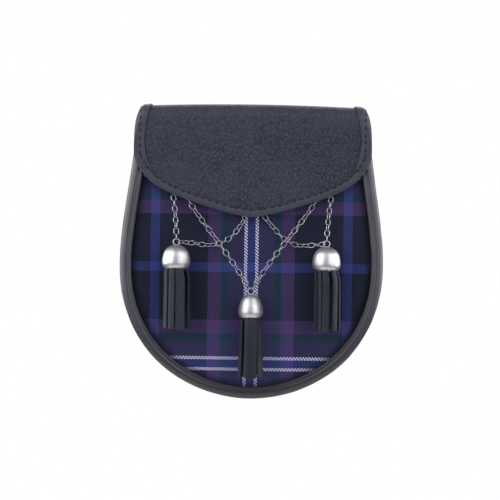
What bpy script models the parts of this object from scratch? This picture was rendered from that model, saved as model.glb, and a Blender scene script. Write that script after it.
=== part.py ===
"""Sporran pouch: a leather pouch with a cloth front, a wrapped flap and three tassels on chains.

Metres, +Z up, +X to the viewer's right, the front faces -Y. The origin is on the rear face,
halfway between the two belt loops, where the hanging strap holds the pouch.
"""

import math
from collections import namedtuple

import bmesh
import bpy
from mathutils import Matrix, Vector

MM = 0.001

# Clearances
GAP = 0.3 * MM
LOOSE = 0.6 * MM

# Pouch body
POUCH_WIDTH = 180 * MM
SIDE_TAPER = math.radians(7.4)
ARC_CENTRE_DROP = 77.7 * MM
BODY_TOP = 21 * MM
POUCH_DEPTH = 36 * MM
BACK_THICK = 2.0 * MM
PANEL_THICK = 1.8 * MM
PANEL_RECESS = 4.0 * MM
GUSSET_THICK = 1.8 * MM
GUSSET_FLANGE = 8.0 * MM
GUSSET_SAG = 2.0 * MM
RIM_WIDTH = 8.3 * MM
RIM_LIP = 1.2 * MM
RIM_LIP_DEPTH = 9.0 * MM

# Flap
FLAP_WIDTH = 162.4 * MM
FLAP_THICK = 1.8 * MM
FLAP_TOP = 33 * MM
FLAP_CROWN = 2.0 * MM
FLAP_CORNER_Z = -3.5 * MM
APRON_DROP = 40.7 * MM
TAIL_BOTTOM = -31 * MM
TAIL_CORNER = 13 * MM
FOLD_RADIUS = 9.5 * MM
SHOULDER_ACROSS = 7.5 * MM
SHOULDER_DROP = 20 * MM
FLAP_STANDOFF = 0.8 * MM
BAND_THICK = 1.0 * MM
BAND_END_DROP = 9 * MM

# Belt loops
LOOP_SPACING = 76 * MM
LOOP_WIDTH = 18 * MM
LOOP_THICK = 2.2 * MM
LOOP_HALF_LENGTH = 22 * MM
LOOP_HALF_CLEAR = 13 * MM
LOOP_STANDOFF = 6.3 * MM

# Press stud that holds the flap shut
STUD_RADIUS = 6 * MM
STUD_NECK_RADIUS = 3.5 * MM
STUD_PLATE = 1.4 * MM
STUD_Z = -20 * MM

# Staples that carry the chains
STAPLE_WIRE = 1.0 * MM
STAPLE_WIDTH = 10 * MM
STAPLE_PROJECTION = 2.6 * MM
STAPLE_BEND = 0.8 * MM
SIDE_STAPLE_X = 54 * MM
SIDE_STAPLE_Z = -14.8 * MM
HOOK_SPACING = 4.6 * MM
CENTRE_STAPLE_X = 1.9 * MM
CENTRE_STAPLE_Z = -36 * MM
CENTRE_STAPLE_WIDTH = 13 * MM
CENTRE_HOOK_SPACING = 7.6 * MM

# Cable chain
LINK_PITCH = 3.9 * MM
LINK_WIDTH = 4.1 * MM
LINK_WIRE = 0.8 * MM
LINK_BITE = 0.12 * MM
TUBE_DIAMETER = 3.4 * MM
TUBE_POINT_SPACING = 2.5 * TUBE_DIAMETER
SQUARING_LINKS = 6
V_LEAN = math.radians(55)

# Tassels
EYE_RADIUS = 2.1 * MM
EYE_WIRE = 0.9 * MM
CAP_WALL = 1.0 * MM
HEAD_HEIGHT = 5 * MM
HEAD_DROP = 0.8 * MM
STRIP_COUNT = 8
STRIP_THICK = 1.4 * MM
STRIP_SLIT = 0.8 * MM
SIDE_TASSEL_X = 51.2 * MM
SIDE_CAP_TOP = -63.8 * MM
SIDE_CAP_HEIGHT = 16.2 * MM
SIDE_CAP_RADIUS = 9.65 * MM
SIDE_SKIRT_LENGTH = 42 * MM
CENTRE_CAP_TOP = -96.7 * MM
CENTRE_CAP_HEIGHT = 16.2 * MM
CENTRE_CAP_RADIUS = 8.5 * MM
CENTRE_SKIRT_LENGTH = 40.8 * MM

# Facets, and the distance within which points are one
ARC_STEPS = 20
FOLD_STEPS = 3
ROUND_SIDES = 12
LINK_SIDES = 5
LINK_END_STEPS = 4
CURVE_SAMPLES = 24
MERGE_DISTANCE = 0.01 * MM

# Planes along Y that the pieces stack on, from the rear face forward
RIM_FRONT_Y = -POUCH_DEPTH
BACK_REAR_Y = -FLAP_THICK - GAP
BACK_FRONT_Y = BACK_REAR_Y - BACK_THICK
GUSSET_REAR_Y = BACK_FRONT_Y - GAP
PANEL_FRONT_Y = RIM_FRONT_Y + PANEL_RECESS
PANEL_REAR_Y = PANEL_FRONT_Y + PANEL_THICK
GUSSET_FRONT_Y = PANEL_REAR_Y + GAP
FLAP_INNER_Y = RIM_FRONT_Y - FLAP_STANDOFF
FLAP_OUTER_Y = FLAP_INNER_Y - FLAP_THICK
STAPLE_BAR_Y = PANEL_FRONT_Y - STAPLE_PROJECTION
TASSEL_Y = PANEL_FRONT_Y - LOOSE - max(SIDE_CAP_RADIUS, CENTRE_CAP_RADIUS)

ARC_RADIUS = POUCH_WIDTH / 2
BODY_INSET = RIM_LIP + GAP
FLAP_HALF = FLAP_WIDTH / 2

# Half of the flap's lower edge: share of the half width, share of the apron's drop
APRON_EDGE = (
    (0.00, 1.000),
    (0.13, 0.964),
    (0.26, 0.902),
    (0.42, 0.805),
    (0.59, 0.691),
    (0.72, 0.586),
    (0.80, 0.497),
    (0.86, 0.416),
    (0.907, 0.312),
    (0.94, 0.248),
    (0.976, 0.126),
    (1.00, 0.000),
)
BAND_FIRST_COLUMN = 8

# Turned outlines of the caps: share of the height down from the top, share of the radius
ROUND_CAP = (
    (0.00, 0.24),
    (0.05, 0.46),
    (0.14, 0.68),
    (0.26, 0.85),
    (0.44, 0.96),
    (0.70, 1.00),
    (0.84, 0.95),
    (0.93, 0.84),
    (1.00, 0.68),
)
CONE_CAP = (
    (0.00, 0.24),
    (0.05, 0.46),
    (0.14, 0.64),
    (0.28, 0.80),
    (0.44, 0.92),
    (0.74, 1.00),
    (0.86, 0.94),
    (0.94, 0.82),
    (1.00, 0.68),
)
CAP_CEILING_SHARE = 0.40

# Run of a skirt's strip below the cap's mouth: share of the skirt's length, share of the way out
STRIP_RUN = ((0.02, 0.0), (0.13, 0.85), (1.0, 1.0))
STRIP_LENGTHS = (1.00, 0.97, 0.99, 0.96, 1.00, 0.98, 0.97, 0.99)

# Routes of the chains, as shares across, down and forward between their two ends
V_ROUTE = (
    (0.00, 0.00, 0.00),
    (0.08, 0.13, 0.00),
    (0.19, 0.27, 0.03),
    (0.37, 0.43, 0.35),
    (0.56, 0.59, 0.64),
    (0.81, 0.81, 0.88),
    (1.00, 1.00, 1.00),
)
DROP_ROUTE = (
    (0.00, 0.00, 0.00),
    (0.04, 0.08, 0.00),
    (0.44, 0.32, 0.01),
    (0.80, 0.64, 0.50),
    (0.99, 0.92, 0.95),
    (1.00, 1.00, 1.00),
)
SWAG_ROUTE_LEFT = (
    (0.00, 0.00, 0.00),
    (0.20, -0.02, 0.50),
    (0.43, -0.07, 0.88),
    (0.63, 0.01, 0.94),
    (0.76, 0.17, 0.96),
    (0.86, 0.39, 0.98),
    (0.94, 0.64, 1.00),
    (0.99, 0.88, 1.00),
    (1.00, 1.00, 1.00),
)
SWAG_ROUTE_RIGHT = (
    (0.00, 0.00, 0.00),
    (0.20, -0.04, 0.50),
    (0.44, -0.04, 0.88),
    (0.63, 0.12, 0.94),
    (0.79, 0.40, 0.97),
    (0.92, 0.65, 1.00),
    (0.99, 0.88, 1.00),
    (1.00, 1.00, 1.00),
)

Tassel = namedtuple("Tassel", "name x cap_top cap_height cap_radius outline skirt_length")
SIDE_TASSEL = Tassel(
    "right", SIDE_TASSEL_X, SIDE_CAP_TOP, SIDE_CAP_HEIGHT, SIDE_CAP_RADIUS, ROUND_CAP, SIDE_SKIRT_LENGTH
)
CENTRE_TASSEL = Tassel(
    "centre", 0.0, CENTRE_CAP_TOP, CENTRE_CAP_HEIGHT, CENTRE_CAP_RADIUS, CONE_CAP, CENTRE_SKIRT_LENGTH
)
TASSELS = (SIDE_TASSEL._replace(name="left", x=-SIDE_TASSEL_X), SIDE_TASSEL, CENTRE_TASSEL)

# Finish of each kind of surface: colour, roughness, metallic
FINISHES = {
    "leather": ((0.075, 0.075, 0.095), 0.45, 0.0),
    "cloth": ((0.020, 0.024, 0.050), 0.85, 0.0),
    "pewter": ((0.72, 0.72, 0.75), 0.28, 1.0),
    "steel": ((0.60, 0.60, 0.64), 0.25, 1.0),
    "strip_leather": ((0.018, 0.018, 0.026), 0.40, 0.0),
}

# Fullness of the pouch outside its plain arc and straight sides: height above the arc's centre and swell,
# both as shares of the arc's radius
OUTLINE_SWELL = (
    (-1.00, 0.0072),
    (-0.92, 0.0098),
    (-0.80, 0.0143),
    (-0.70, 0.0158),
    (-0.56, 0.0132),
    (-0.38, 0.0088),
    (-0.20, 0.0040),
    (-0.06, 0.0008),
    (0.00, 0.0000),
    (0.06, 0.0016),
    (0.16, 0.0085),
    (0.35, 0.0132),
    (0.65, 0.0080),
    (1.10, 0.0036),
)
# Stations up each straight side, as shares of its height, the top first
SIDE_STATIONS = (1.0, 0.56, 0.26)


def clear_scene():
    """Remove whatever the scene holds."""
    for item in list(bpy.data.objects):
        bpy.data.objects.remove(item, do_unlink=True)


def make_material(name, finish):
    """Return a Principled material of its own for one piece."""
    colour, roughness, metallic = FINISHES[finish]
    material = bpy.data.materials.new(name)
    material.use_nodes = True
    shader = material.node_tree.nodes["Principled BSDF"]
    shader.inputs["Base Color"].default_value = (*colour, 1.0)
    shader.inputs["Roughness"].default_value = roughness
    shader.inputs["Metallic"].default_value = metallic
    return material


def add_mesh_object(name, bm, finish, smooth_angle=40):
    """Close the bmesh into a named object with outward faces and a material."""
    bmesh.ops.recalc_face_normals(bm, faces=bm.faces)
    mesh = bpy.data.meshes.new(name)
    bm.to_mesh(mesh)
    bm.free()
    mesh.shade_smooth()
    mesh.set_sharp_from_angle(angle=math.radians(smooth_angle))
    piece = bpy.data.objects.new(name, mesh)
    bpy.context.scene.collection.objects.link(piece)
    mesh.materials.append(make_material(name, finish))
    return piece


def unite(piece, bm_other):
    """Fuse another closed mesh into a piece with a Boolean union."""
    bmesh.ops.recalc_face_normals(bm_other, faces=bm_other.faces)
    other_mesh = bpy.data.meshes.new("other")
    bm_other.to_mesh(other_mesh)
    bm_other.free()
    other = bpy.data.objects.new("other", other_mesh)
    bpy.context.scene.collection.objects.link(other)
    union = piece.modifiers.new("union", "BOOLEAN")
    union.operation = "UNION"
    union.solver = "EXACT"
    union.object = other
    bpy.context.view_layer.update()
    fused = bpy.data.meshes.new_from_object(piece.evaluated_get(bpy.context.evaluated_depsgraph_get()))
    piece.modifiers.clear()
    piece.data = fused
    bpy.data.objects.remove(other, do_unlink=True)


def add_grid_shell(bm, outer, inner):
    """Join two grids of points, of the same rows and columns, into one closed sheet."""
    rows = len(outer)
    columns = len(outer[0])
    front = [[bm.verts.new(point) for point in row] for row in outer]
    back = [[bm.verts.new(point) for point in row] for row in inner]
    for r in range(rows - 1):
        for c in range(columns - 1):
            bm.faces.new((front[r][c], front[r][c + 1], front[r + 1][c + 1], front[r + 1][c]))
            bm.faces.new((back[r][c], back[r + 1][c], back[r + 1][c + 1], back[r][c + 1]))
    for r in range(rows - 1):
        for c in (0, columns - 1):
            bm.faces.new((front[r][c], front[r + 1][c], back[r + 1][c], back[r][c]))
    for c in range(columns - 1):
        for r in (0, rows - 1):
            bm.faces.new((front[r][c], back[r][c], back[r][c + 1], front[r][c + 1]))


def add_ring_loft(bm, rings, closed_path=False):
    """Skin rings of points, each a closed loop, and cap the ends unless the path is closed."""
    loops = [[bm.verts.new(point) for point in ring] for ring in rings]
    pairs = list(zip(loops, loops[1:]))
    if closed_path:
        pairs.append((loops[-1], loops[0]))
    for first, second in pairs:
        for i in range(len(first)):
            j = (i + 1) % len(first)
            bm.faces.new((first[i], first[j], second[j], second[i]))
    if not closed_path:
        bm.faces.new(loops[0])
        bm.faces.new(loops[-1])


def outline_swell(z):
    """Return how far the silhouette stands outside its plain arc and straight sides at a height."""
    height = (z + ARC_CENTRE_DROP) / ARC_RADIUS
    height = min(max(height, OUTLINE_SWELL[0][0]), OUTLINE_SWELL[-1][0])
    for (low, first), (high, second) in zip(OUTLINE_SWELL, OUTLINE_SWELL[1:]):
        if height <= high:
            return (first + (second - first) * (height - low) / (high - low)) * ARC_RADIUS
    return OUTLINE_SWELL[-1][1] * ARC_RADIUS


def pouch_stations(top):
    """Return points on the pouch's silhouette with outward normals, left top round to right top."""
    stations = []
    start = math.pi - SIDE_TAPER
    sweep = math.pi + 2 * SIDE_TAPER
    tangent_x = ARC_RADIUS * math.cos(SIDE_TAPER)
    tangent_z = -ARC_CENTRE_DROP + ARC_RADIUS * math.sin(SIDE_TAPER)
    sides = []
    for share in SIDE_STATIONS:
        rise = (top - tangent_z) * share
        sides.append((tangent_x - rise * math.tan(SIDE_TAPER), tangent_z + rise))
    for x, z in sides:
        stations.append((-x, z, -math.cos(SIDE_TAPER), math.sin(SIDE_TAPER)))
    for step in range(ARC_STEPS + 1):
        angle = start + sweep * step / ARC_STEPS
        across = math.cos(angle)
        up = math.sin(angle)
        stations.append((ARC_RADIUS * across, -ARC_CENTRE_DROP + ARC_RADIUS * up, across, up))
    for x, z in reversed(sides):
        stations.append((x, z, math.cos(SIDE_TAPER), math.sin(SIDE_TAPER)))
    return [
        (x + across * outline_swell(z), z + up * outline_swell(z), across, up) for x, z, across, up in stations
    ]


def sweep_round_pouch(section, top):
    """Return rings of a section, given as (inset, y) points, at each station of the pouch."""
    rings = []
    for x, z, normal_x, normal_z in pouch_stations(top):
        rings.append([(x - normal_x * inset, y, z - normal_z * inset) for inset, y in section])
    return rings


def add_flat_sheet(name, inset, rear_y, front_y, top, finish):
    """Make a flat sheet of the pouch's outline."""
    bm = bmesh.new()
    outline = [(x - nx * inset, z - nz * inset) for x, z, nx, nz in pouch_stations(top)]
    add_ring_loft(bm, [[(x, y, z) for x, z in outline] for y in (rear_y, front_y)])
    return add_mesh_object(name, bm, finish)


def add_back_and_front_panels():
    """Make the leather back and the cloth-covered front of the body."""
    add_flat_sheet("back_panel", BODY_INSET, BACK_REAR_Y, BACK_FRONT_Y, BODY_TOP, "leather")
    add_flat_sheet("front_panel", BODY_INSET, PANEL_REAR_Y, PANEL_FRONT_Y, BODY_TOP, "cloth")


def add_gusset():
    """Make the side and bottom wall, a strip whose two edges turn inwards to be sewn."""
    wall = BODY_INSET
    middle = (GUSSET_REAR_Y + GUSSET_FRONT_Y) / 2
    section = (
        (wall, GUSSET_REAR_Y),
        (wall + GUSSET_SAG, middle),
        (wall, GUSSET_FRONT_Y),
        (wall + GUSSET_FLANGE, GUSSET_FRONT_Y),
        (wall + GUSSET_FLANGE, GUSSET_FRONT_Y + GUSSET_THICK),
        (wall + GUSSET_THICK, GUSSET_FRONT_Y + GUSSET_THICK),
        (wall + GUSSET_SAG + GUSSET_THICK, middle),
        (wall + GUSSET_THICK, GUSSET_REAR_Y - GUSSET_THICK),
        (wall + GUSSET_FLANGE, GUSSET_REAR_Y - GUSSET_THICK),
        (wall + GUSSET_FLANGE, GUSSET_REAR_Y),
    )
    bm = bmesh.new()
    add_ring_loft(bm, sweep_round_pouch(section, BODY_TOP))
    add_mesh_object("gusset", bm, "leather")


def add_front_rim():
    """Make the rolled leather rim that frames the cloth and laps over the edge of the body."""
    face = PANEL_FRONT_Y - GAP
    rise = face - RIM_FRONT_Y
    section = (
        (RIM_LIP, RIM_FRONT_Y + RIM_LIP_DEPTH),
        (RIM_LIP * 0.4, RIM_FRONT_Y + RIM_LIP_DEPTH),
        (0.0, RIM_FRONT_Y + RIM_LIP_DEPTH * 0.85),
        (0.0, RIM_FRONT_Y + rise * 0.75),
        (RIM_WIDTH * 0.07, RIM_FRONT_Y + rise * 0.30),
        (RIM_WIDTH * 0.21, RIM_FRONT_Y + rise * 0.06),
        (RIM_WIDTH * 0.42, RIM_FRONT_Y),
        (RIM_WIDTH * 0.76, RIM_FRONT_Y + rise * 0.18),
        (RIM_WIDTH * 0.90, RIM_FRONT_Y + rise * 0.12),
        (RIM_WIDTH, RIM_FRONT_Y + rise * 0.34),
        (RIM_WIDTH, face),
        (RIM_LIP, face),
    )
    bm = bmesh.new()
    add_ring_loft(bm, sweep_round_pouch(section, BODY_TOP))
    add_mesh_object("front_rim", bm, "leather")


def flap_columns():
    """Return (x, lower edge z) across the whole flap, from left to right."""
    half = [(across * FLAP_HALF, FLAP_CORNER_Z - down * APRON_DROP) for across, down in APRON_EDGE]
    return [(-x, z) for x, z in reversed(half[1:])] + half


def rounded_corner(x, straight, drop):
    """Return how far an edge has dropped at x, past where its rounded corner starts."""
    past = max(abs(x) - (FLAP_HALF - straight), 0.0) / straight
    return drop * (1 - math.sqrt(max(1 - past * past, 0.0)))


def flap_path(x, low_z):
    """Return the (y, z) points of the flap's outer face and their outward normals at one x."""
    crown = FLAP_CROWN * (x / FLAP_HALF) ** 2
    top = FLAP_TOP - crown - rounded_corner(x, SHOULDER_ACROSS, SHOULDER_DROP)
    tail = TAIL_BOTTOM + rounded_corner(x, TAIL_CORNER, TAIL_CORNER)
    path = [(0.0, tail, 1.0, 0.0)]
    for centre_y, first in ((-FOLD_RADIUS, 0), (FLAP_OUTER_Y + FOLD_RADIUS, 90)):
        for step in range(FOLD_STEPS + 1):
            angle = math.radians(first + 90 * step / FOLD_STEPS)
            out_y = math.cos(angle)
            out_z = math.sin(angle)
            y = centre_y + FOLD_RADIUS * out_y
            z = top - FOLD_RADIUS + FOLD_RADIUS * out_z
            path.append((y, z, out_y, out_z))
    path.append((FLAP_OUTER_Y, low_z, -1.0, 0.0))
    return path


def offset_path(path, distance):
    """Shift each point of a flap path along its normal."""
    return [(y + out_y * distance, z + out_z * distance) for y, z, out_y, out_z in path]


def add_flap():
    """Make the leather flap: sewn to the back, over the top, and down the front to a point."""
    outer = []
    inner = []
    for x, low_z in flap_columns():
        path = flap_path(x, low_z)
        outer.append([(x, y, z) for y, z in offset_path(path, 0.0)])
        inner.append([(x, y, z) for y, z in offset_path(path, -FLAP_THICK)])
    bm = bmesh.new()
    add_grid_shell(bm, outer, inner)
    add_mesh_object("flap", bm, "leather")


def add_side_band(name, side):
    """Make the smooth leather band stitched along one side edge of the flap's front."""
    outer = []
    inner = []
    columns = APRON_EDGE[BAND_FIRST_COLUMN:]
    for index, (across, _) in enumerate(columns):
        x = side * across * FLAP_HALF
        end_drop = BAND_END_DROP * (len(columns) - 1 - index) / (len(columns) - 1)
        path = flap_path(x, FLAP_CORNER_Z - end_drop)[FOLD_STEPS + 1:]
        inner.append([(x, y, z) for y, z in offset_path(path, GAP)])
        outer.append([(x, y, z) for y, z in offset_path(path, GAP + BAND_THICK)])
    bm = bmesh.new()
    add_grid_shell(bm, outer, inner)
    add_mesh_object(name, bm, "leather")


def add_belt_loop(name, x):
    """Make one raised leather loop on the flap's tail, for the hanging strap."""
    ramp = LOOP_STANDOFF * 0.25
    inner = (
        (-LOOP_HALF_LENGTH, GAP),
        (-LOOP_HALF_CLEAR - ramp - LOOP_THICK, GAP),
        (-LOOP_HALF_CLEAR - ramp, GAP),
        (-LOOP_HALF_CLEAR, LOOP_STANDOFF),
        (LOOP_HALF_CLEAR, LOOP_STANDOFF),
        (LOOP_HALF_CLEAR + ramp, GAP),
        (LOOP_HALF_CLEAR + ramp + LOOP_THICK, GAP),
        (LOOP_HALF_LENGTH, GAP),
    )
    outer = (
        (LOOP_HALF_LENGTH, GAP + LOOP_THICK),
        (LOOP_HALF_CLEAR + ramp + LOOP_THICK, GAP + LOOP_THICK),
        (LOOP_HALF_CLEAR + LOOP_THICK, LOOP_STANDOFF + LOOP_THICK * 0.4),
        (LOOP_HALF_CLEAR + LOOP_THICK * 0.4, LOOP_STANDOFF + LOOP_THICK),
        (-LOOP_HALF_CLEAR - LOOP_THICK * 0.4, LOOP_STANDOFF + LOOP_THICK),
        (-LOOP_HALF_CLEAR - LOOP_THICK, LOOP_STANDOFF + LOOP_THICK * 0.4),
        (-LOOP_HALF_CLEAR - ramp - LOOP_THICK, GAP + LOOP_THICK),
        (-LOOP_HALF_LENGTH, GAP + LOOP_THICK),
    )
    profile = inner + outer
    bm = bmesh.new()
    add_ring_loft(bm, [[(x + side * LOOP_WIDTH / 2, y, z) for z, y in profile] for side in (-1, 1)])
    add_mesh_object(name, bm, "leather")


def turned(profile, centre, axis_y=False):
    """Return a bmesh turned from (radius, along) points about Z, or about Y."""
    bm = bmesh.new()
    verts = [bm.verts.new((radius, 0.0, along)) for radius, along in profile]
    edges = [bm.edges.new(pair) for pair in zip(verts, verts[1:])]
    bmesh.ops.spin(
        bm,
        geom=verts + edges,
        cent=(0, 0, 0),
        axis=(0, 0, 1),
        angle=math.tau,
        steps=ROUND_SIDES,
        use_merge=True,
    )
    bmesh.ops.remove_doubles(bm, verts=bm.verts, dist=MERGE_DISTANCE)
    turn = Matrix.Rotation(math.radians(90), 4, "X") if axis_y else Matrix.Identity(4)
    bm.transform(Matrix.Translation(centre) @ turn)
    return bm


def add_press_stud():
    """Make the hidden stud between the cloth front and the flap, as one plain piece."""
    depth = PANEL_FRONT_Y - FLAP_INNER_Y - 2 * GAP
    profile = (
        (0.0, 0.0),
        (STUD_RADIUS, 0.0),
        (STUD_RADIUS, STUD_PLATE),
        (STUD_NECK_RADIUS, STUD_PLATE),
        (STUD_NECK_RADIUS, depth - STUD_PLATE),
        (STUD_RADIUS, depth - STUD_PLATE),
        (STUD_RADIUS, depth),
        (0.0, depth),
    )
    add_mesh_object("press_stud", turned(profile, (0.0, PANEL_FRONT_Y - GAP, STUD_Z), axis_y=True), "steel")


def tube(name, points, radius, resolution, finish):
    """Make a round tube with closed ends along a list of points."""
    curve = bpy.data.curves.new(name, "CURVE")
    curve.dimensions = "3D"
    curve.bevel_depth = radius
    curve.bevel_resolution = resolution
    curve.use_fill_caps = True
    spline = curve.splines.new("POLY")
    spline.points.add(len(points) - 1)
    for target, point in zip(spline.points, points):
        target.co = (*point, 1.0)
    piece = bpy.data.objects.new(name, curve)
    bpy.context.scene.collection.objects.link(piece)
    curve.materials.append(make_material(name, finish))
    return piece


def add_staple(name, x, z, width):
    """Make one wire staple whose bar stands clear of the cloth and whose legs meet it."""
    half = width / 2
    bend = STAPLE_BEND
    leg_y = PANEL_FRONT_Y - GAP
    points = (
        (x - half, leg_y, z),
        (x - half, STAPLE_BAR_Y + bend, z),
        (x - half + bend, STAPLE_BAR_Y, z),
        (x + half - bend, STAPLE_BAR_Y, z),
        (x + half, STAPLE_BAR_Y + bend, z),
        (x + half, leg_y, z),
    )
    tube(name, points, STAPLE_WIRE / 2, 1, "steel")


def closed_wire(path, radius, sides, inward):
    """Return rings of a wire bent round a closed plane path; a corner of the wire points inward."""
    rings = []
    count = len(path)
    centre = sum((Vector(point) for point in path), Vector()) / count
    for i in range(count):
        tangent = (Vector(path[(i + 1) % count]) - Vector(path[i - 1])).normalized()
        side = inward.normalized()
        out = tangent.cross(side).normalized()
        if out.dot(Vector(path[i]) - centre) > 0:
            out = -out
        ring = []
        for corner in range(sides):
            angle = math.tau * corner / sides
            ring.append(Vector(path[i]) + radius * (out * math.cos(angle) + side * math.sin(angle)))
        rings.append(ring)
    return rings


def eye_centre(tassel):
    """Return the centre of the ring on top of a tassel's cap."""
    return Vector((tassel.x, TASSEL_Y, tassel.cap_top + EYE_RADIUS))


def cap_radius_at(tassel, share):
    """Return the cap's outer radius at a share of its height down from its top."""
    rows = tassel.outline
    for (above, first), (below, second) in zip(rows, rows[1:]):
        if share <= below:
            part = (share - above) / (below - above)
            return tassel.cap_radius * (first + (second - first) * part)
    return tassel.cap_radius * rows[-1][1]


def add_cap(tassel):
    """Make one cast metal cap, hollow from below, with its ring cast on top."""
    outer = [(radius * tassel.cap_radius, -down * tassel.cap_height) for down, radius in tassel.outline]
    inside = [row for row in tassel.outline if row[0] >= CAP_CEILING_SHARE]
    inner = [(radius * tassel.cap_radius - CAP_WALL, -down * tassel.cap_height) for down, radius in inside]
    ceiling = inner[0][1]
    profile = [(0.0, 0.0)] + outer + list(reversed(inner)) + [(0.0, ceiling)]
    body = turned(profile, (tassel.x, TASSEL_Y, tassel.cap_top))
    cap = add_mesh_object(f"tassel_cap_{tassel.name}", body, "pewter")
    centre = eye_centre(tassel)
    path = []
    for step in range(ROUND_SIDES):
        angle = math.tau * (step + 0.5) / ROUND_SIDES
        path.append(centre + EYE_RADIUS * Vector((math.cos(angle), 0.0, math.sin(angle))))
    bm = bmesh.new()
    add_ring_loft(bm, closed_wire(path, EYE_WIRE / 2, LINK_SIDES, Vector((0, 1, 0))), closed_path=True)
    unite(cap, bm)


def strip_rings(angle, centre_radii, heights):
    """Return the four-cornered rings of one leather strip of a skirt."""
    out = Vector((math.sin(angle), -math.cos(angle), 0.0))
    side = Vector((math.cos(angle), math.sin(angle), 0.0))
    rings = []
    for radius, z in zip(centre_radii, heights):
        near = radius - STRIP_THICK / 2
        width = 2 * near * math.tan(math.pi / STRIP_COUNT) - STRIP_SLIT
        ring = []
        for across, through in ((-1, -1), (1, -1), (1, 1), (-1, 1)):
            point = out * (radius + through * STRIP_THICK / 2) + side * (across * width / 2)
            ring.append(point + Vector((0.0, 0.0, z)))
        rings.append(ring)
    return rings


def add_skirt(tassel):
    """Make one skirt: a round head inside the cap and flat strips hanging from it."""
    mouth = tassel.cap_top - tassel.cap_height
    head_top_share = 1 - HEAD_HEIGHT / tassel.cap_height
    room = min(cap_radius_at(tassel, head_top_share), cap_radius_at(tassel, 1.0)) - CAP_WALL
    head_radius = room - GAP
    head_low = mouth + HEAD_DROP
    head_top = mouth + HEAD_HEIGHT
    head_profile = ((0.0, head_low), (head_radius, head_low), (head_radius, head_top), (0.0, head_top))
    head_body = turned(head_profile, (tassel.x, TASSEL_Y, 0.0))
    head = add_mesh_object(f"tassel_skirt_{tassel.name}", head_body, "strip_leather")
    bm = bmesh.new()
    top_radius = head_radius * math.cos(math.pi / ROUND_SIDES) - STRIP_THICK / 2
    full_radius = tassel.cap_radius - STRIP_THICK
    for index in range(STRIP_COUNT):
        length = tassel.skirt_length * STRIP_LENGTHS[index]
        heights = [(head_low + head_top) / 2]
        radii = [top_radius]
        for down, outward in STRIP_RUN:
            heights.append(mouth - length * down)
            radii.append(top_radius + (full_radius - top_radius) * outward)
        rings = strip_rings(math.tau * index / STRIP_COUNT, radii, heights)
        add_ring_loft(bm, [[point + Vector((tassel.x, TASSEL_Y, 0.0)) for point in ring] for ring in rings])
    unite(head, bm)


def smooth_route(start, end, rows):
    """Return closely spaced points on a smooth curve through the rows of a route."""
    knots = []
    for across, down, forward in rows:
        knots.append(
            Vector((
                start.x + (end.x - start.x) * across,
                start.y + (end.y - start.y) * forward,
                start.z + (end.z - start.z) * down,
            ))
        )
    padded = [2 * knots[0] - knots[1]] + knots + [2 * knots[-1] - knots[-2]]
    points = [knots[0]]
    for a, b, c, d in zip(padded, padded[1:], padded[2:], padded[3:]):
        for step in range(1, CURVE_SAMPLES + 1):
            t = step / CURVE_SAMPLES
            square = 2 * a - 5 * b + 4 * c - d
            cube = 3 * b - a - 3 * c + d
            points.append(0.5 * (2 * b + (c - a) * t + square * t ** 2 + cube * t ** 3))
    return points


def spaced_points(points, count):
    """Return count + 1 points an equal length apart along a dense route."""
    lengths = [0.0]
    for first, second in zip(points, points[1:]):
        lengths.append(lengths[-1] + (second - first).length)
    spaced = []
    index = 0
    for step in range(count + 1):
        target = lengths[-1] * step / count
        while index < len(points) - 2 and lengths[index + 1] < target:
            index += 1
        part = (target - lengths[index]) / (lengths[index + 1] - lengths[index])
        spaced.append(points[index].lerp(points[index + 1], part))
    return spaced


def route_length(points):
    """Return the length of a dense route."""
    return sum((second - first).length for first, second in zip(points, points[1:]))


def link_path(pitch):
    """Return the wire's centre line for one link: two straight sides and two round ends."""
    half_width = (LINK_WIDTH - LINK_WIRE) / 2
    half_length = (pitch + LINK_WIRE - LINK_BITE) / 2
    path = []
    for end, first in ((1, 0), (-1, 180)):
        for step in range(LINK_END_STEPS + 1):
            angle = math.radians(first + 180 * step / LINK_END_STEPS)
            z = end * (half_length - half_width) + half_width * math.sin(angle)
            path.append(Vector((half_width * math.cos(angle), 0.0, z)))
    return path


def add_link_chain(name, route):
    """Make one run of interlocked links, fused where they bear on each other."""
    count = round(route_length(route) / LINK_PITCH)
    joints = spaced_points(route, count)
    pitch = route_length(route) / count
    path = link_path(pitch)
    meshes = (bmesh.new(), bmesh.new())
    for index in range(count):
        from_end = count - 1 - index
        ease = min(from_end / SQUARING_LINKS, 1.0)
        roll = math.radians(90 * (from_end % 2) + 90 + 45 * ease)
        along = (joints[index] - joints[index + 1]).normalized()
        across = along.cross(Vector((0, 1, 0))).normalized()
        through = along.cross(across)
        frame = Matrix((across, through, along)).transposed().to_4x4()
        middle = (joints[index] + joints[index + 1]) / 2
        place = Matrix.Translation(middle) @ frame @ Matrix.Rotation(roll, 4, "Z")
        rings = []
        for ring in closed_wire(path, LINK_WIRE / 2, LINK_SIDES, Vector((0, 1, 0))):
            rings.append([place @ point for point in ring])
        add_ring_loft(meshes[index % 2], rings, closed_path=True)
    chain = add_mesh_object(name, meshes[0], "steel")
    unite(chain, meshes[1])


def add_tube_chain(name, route):
    """Make one plain tube of a chain's outer size along its route."""
    count = round(route_length(route) / TUBE_POINT_SPACING)
    points = spaced_points(route, count)
    stub = TUBE_DIAMETER / 2
    first = points[0] + (route[1] - route[0]).normalized() * stub
    last = points[-1] + (route[-2] - route[-1]).normalized() * stub
    tube(name, [points[0], first] + points[1:-1] + [last, points[-1]], TUBE_DIAMETER / 2, 2, "steel")


def hook_shift():
    """Return how far a chain's last joint lies past the middle of the wire that it hooks on."""
    return LINK_BITE / 2 + GAP + STAPLE_WIRE / 2


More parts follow.
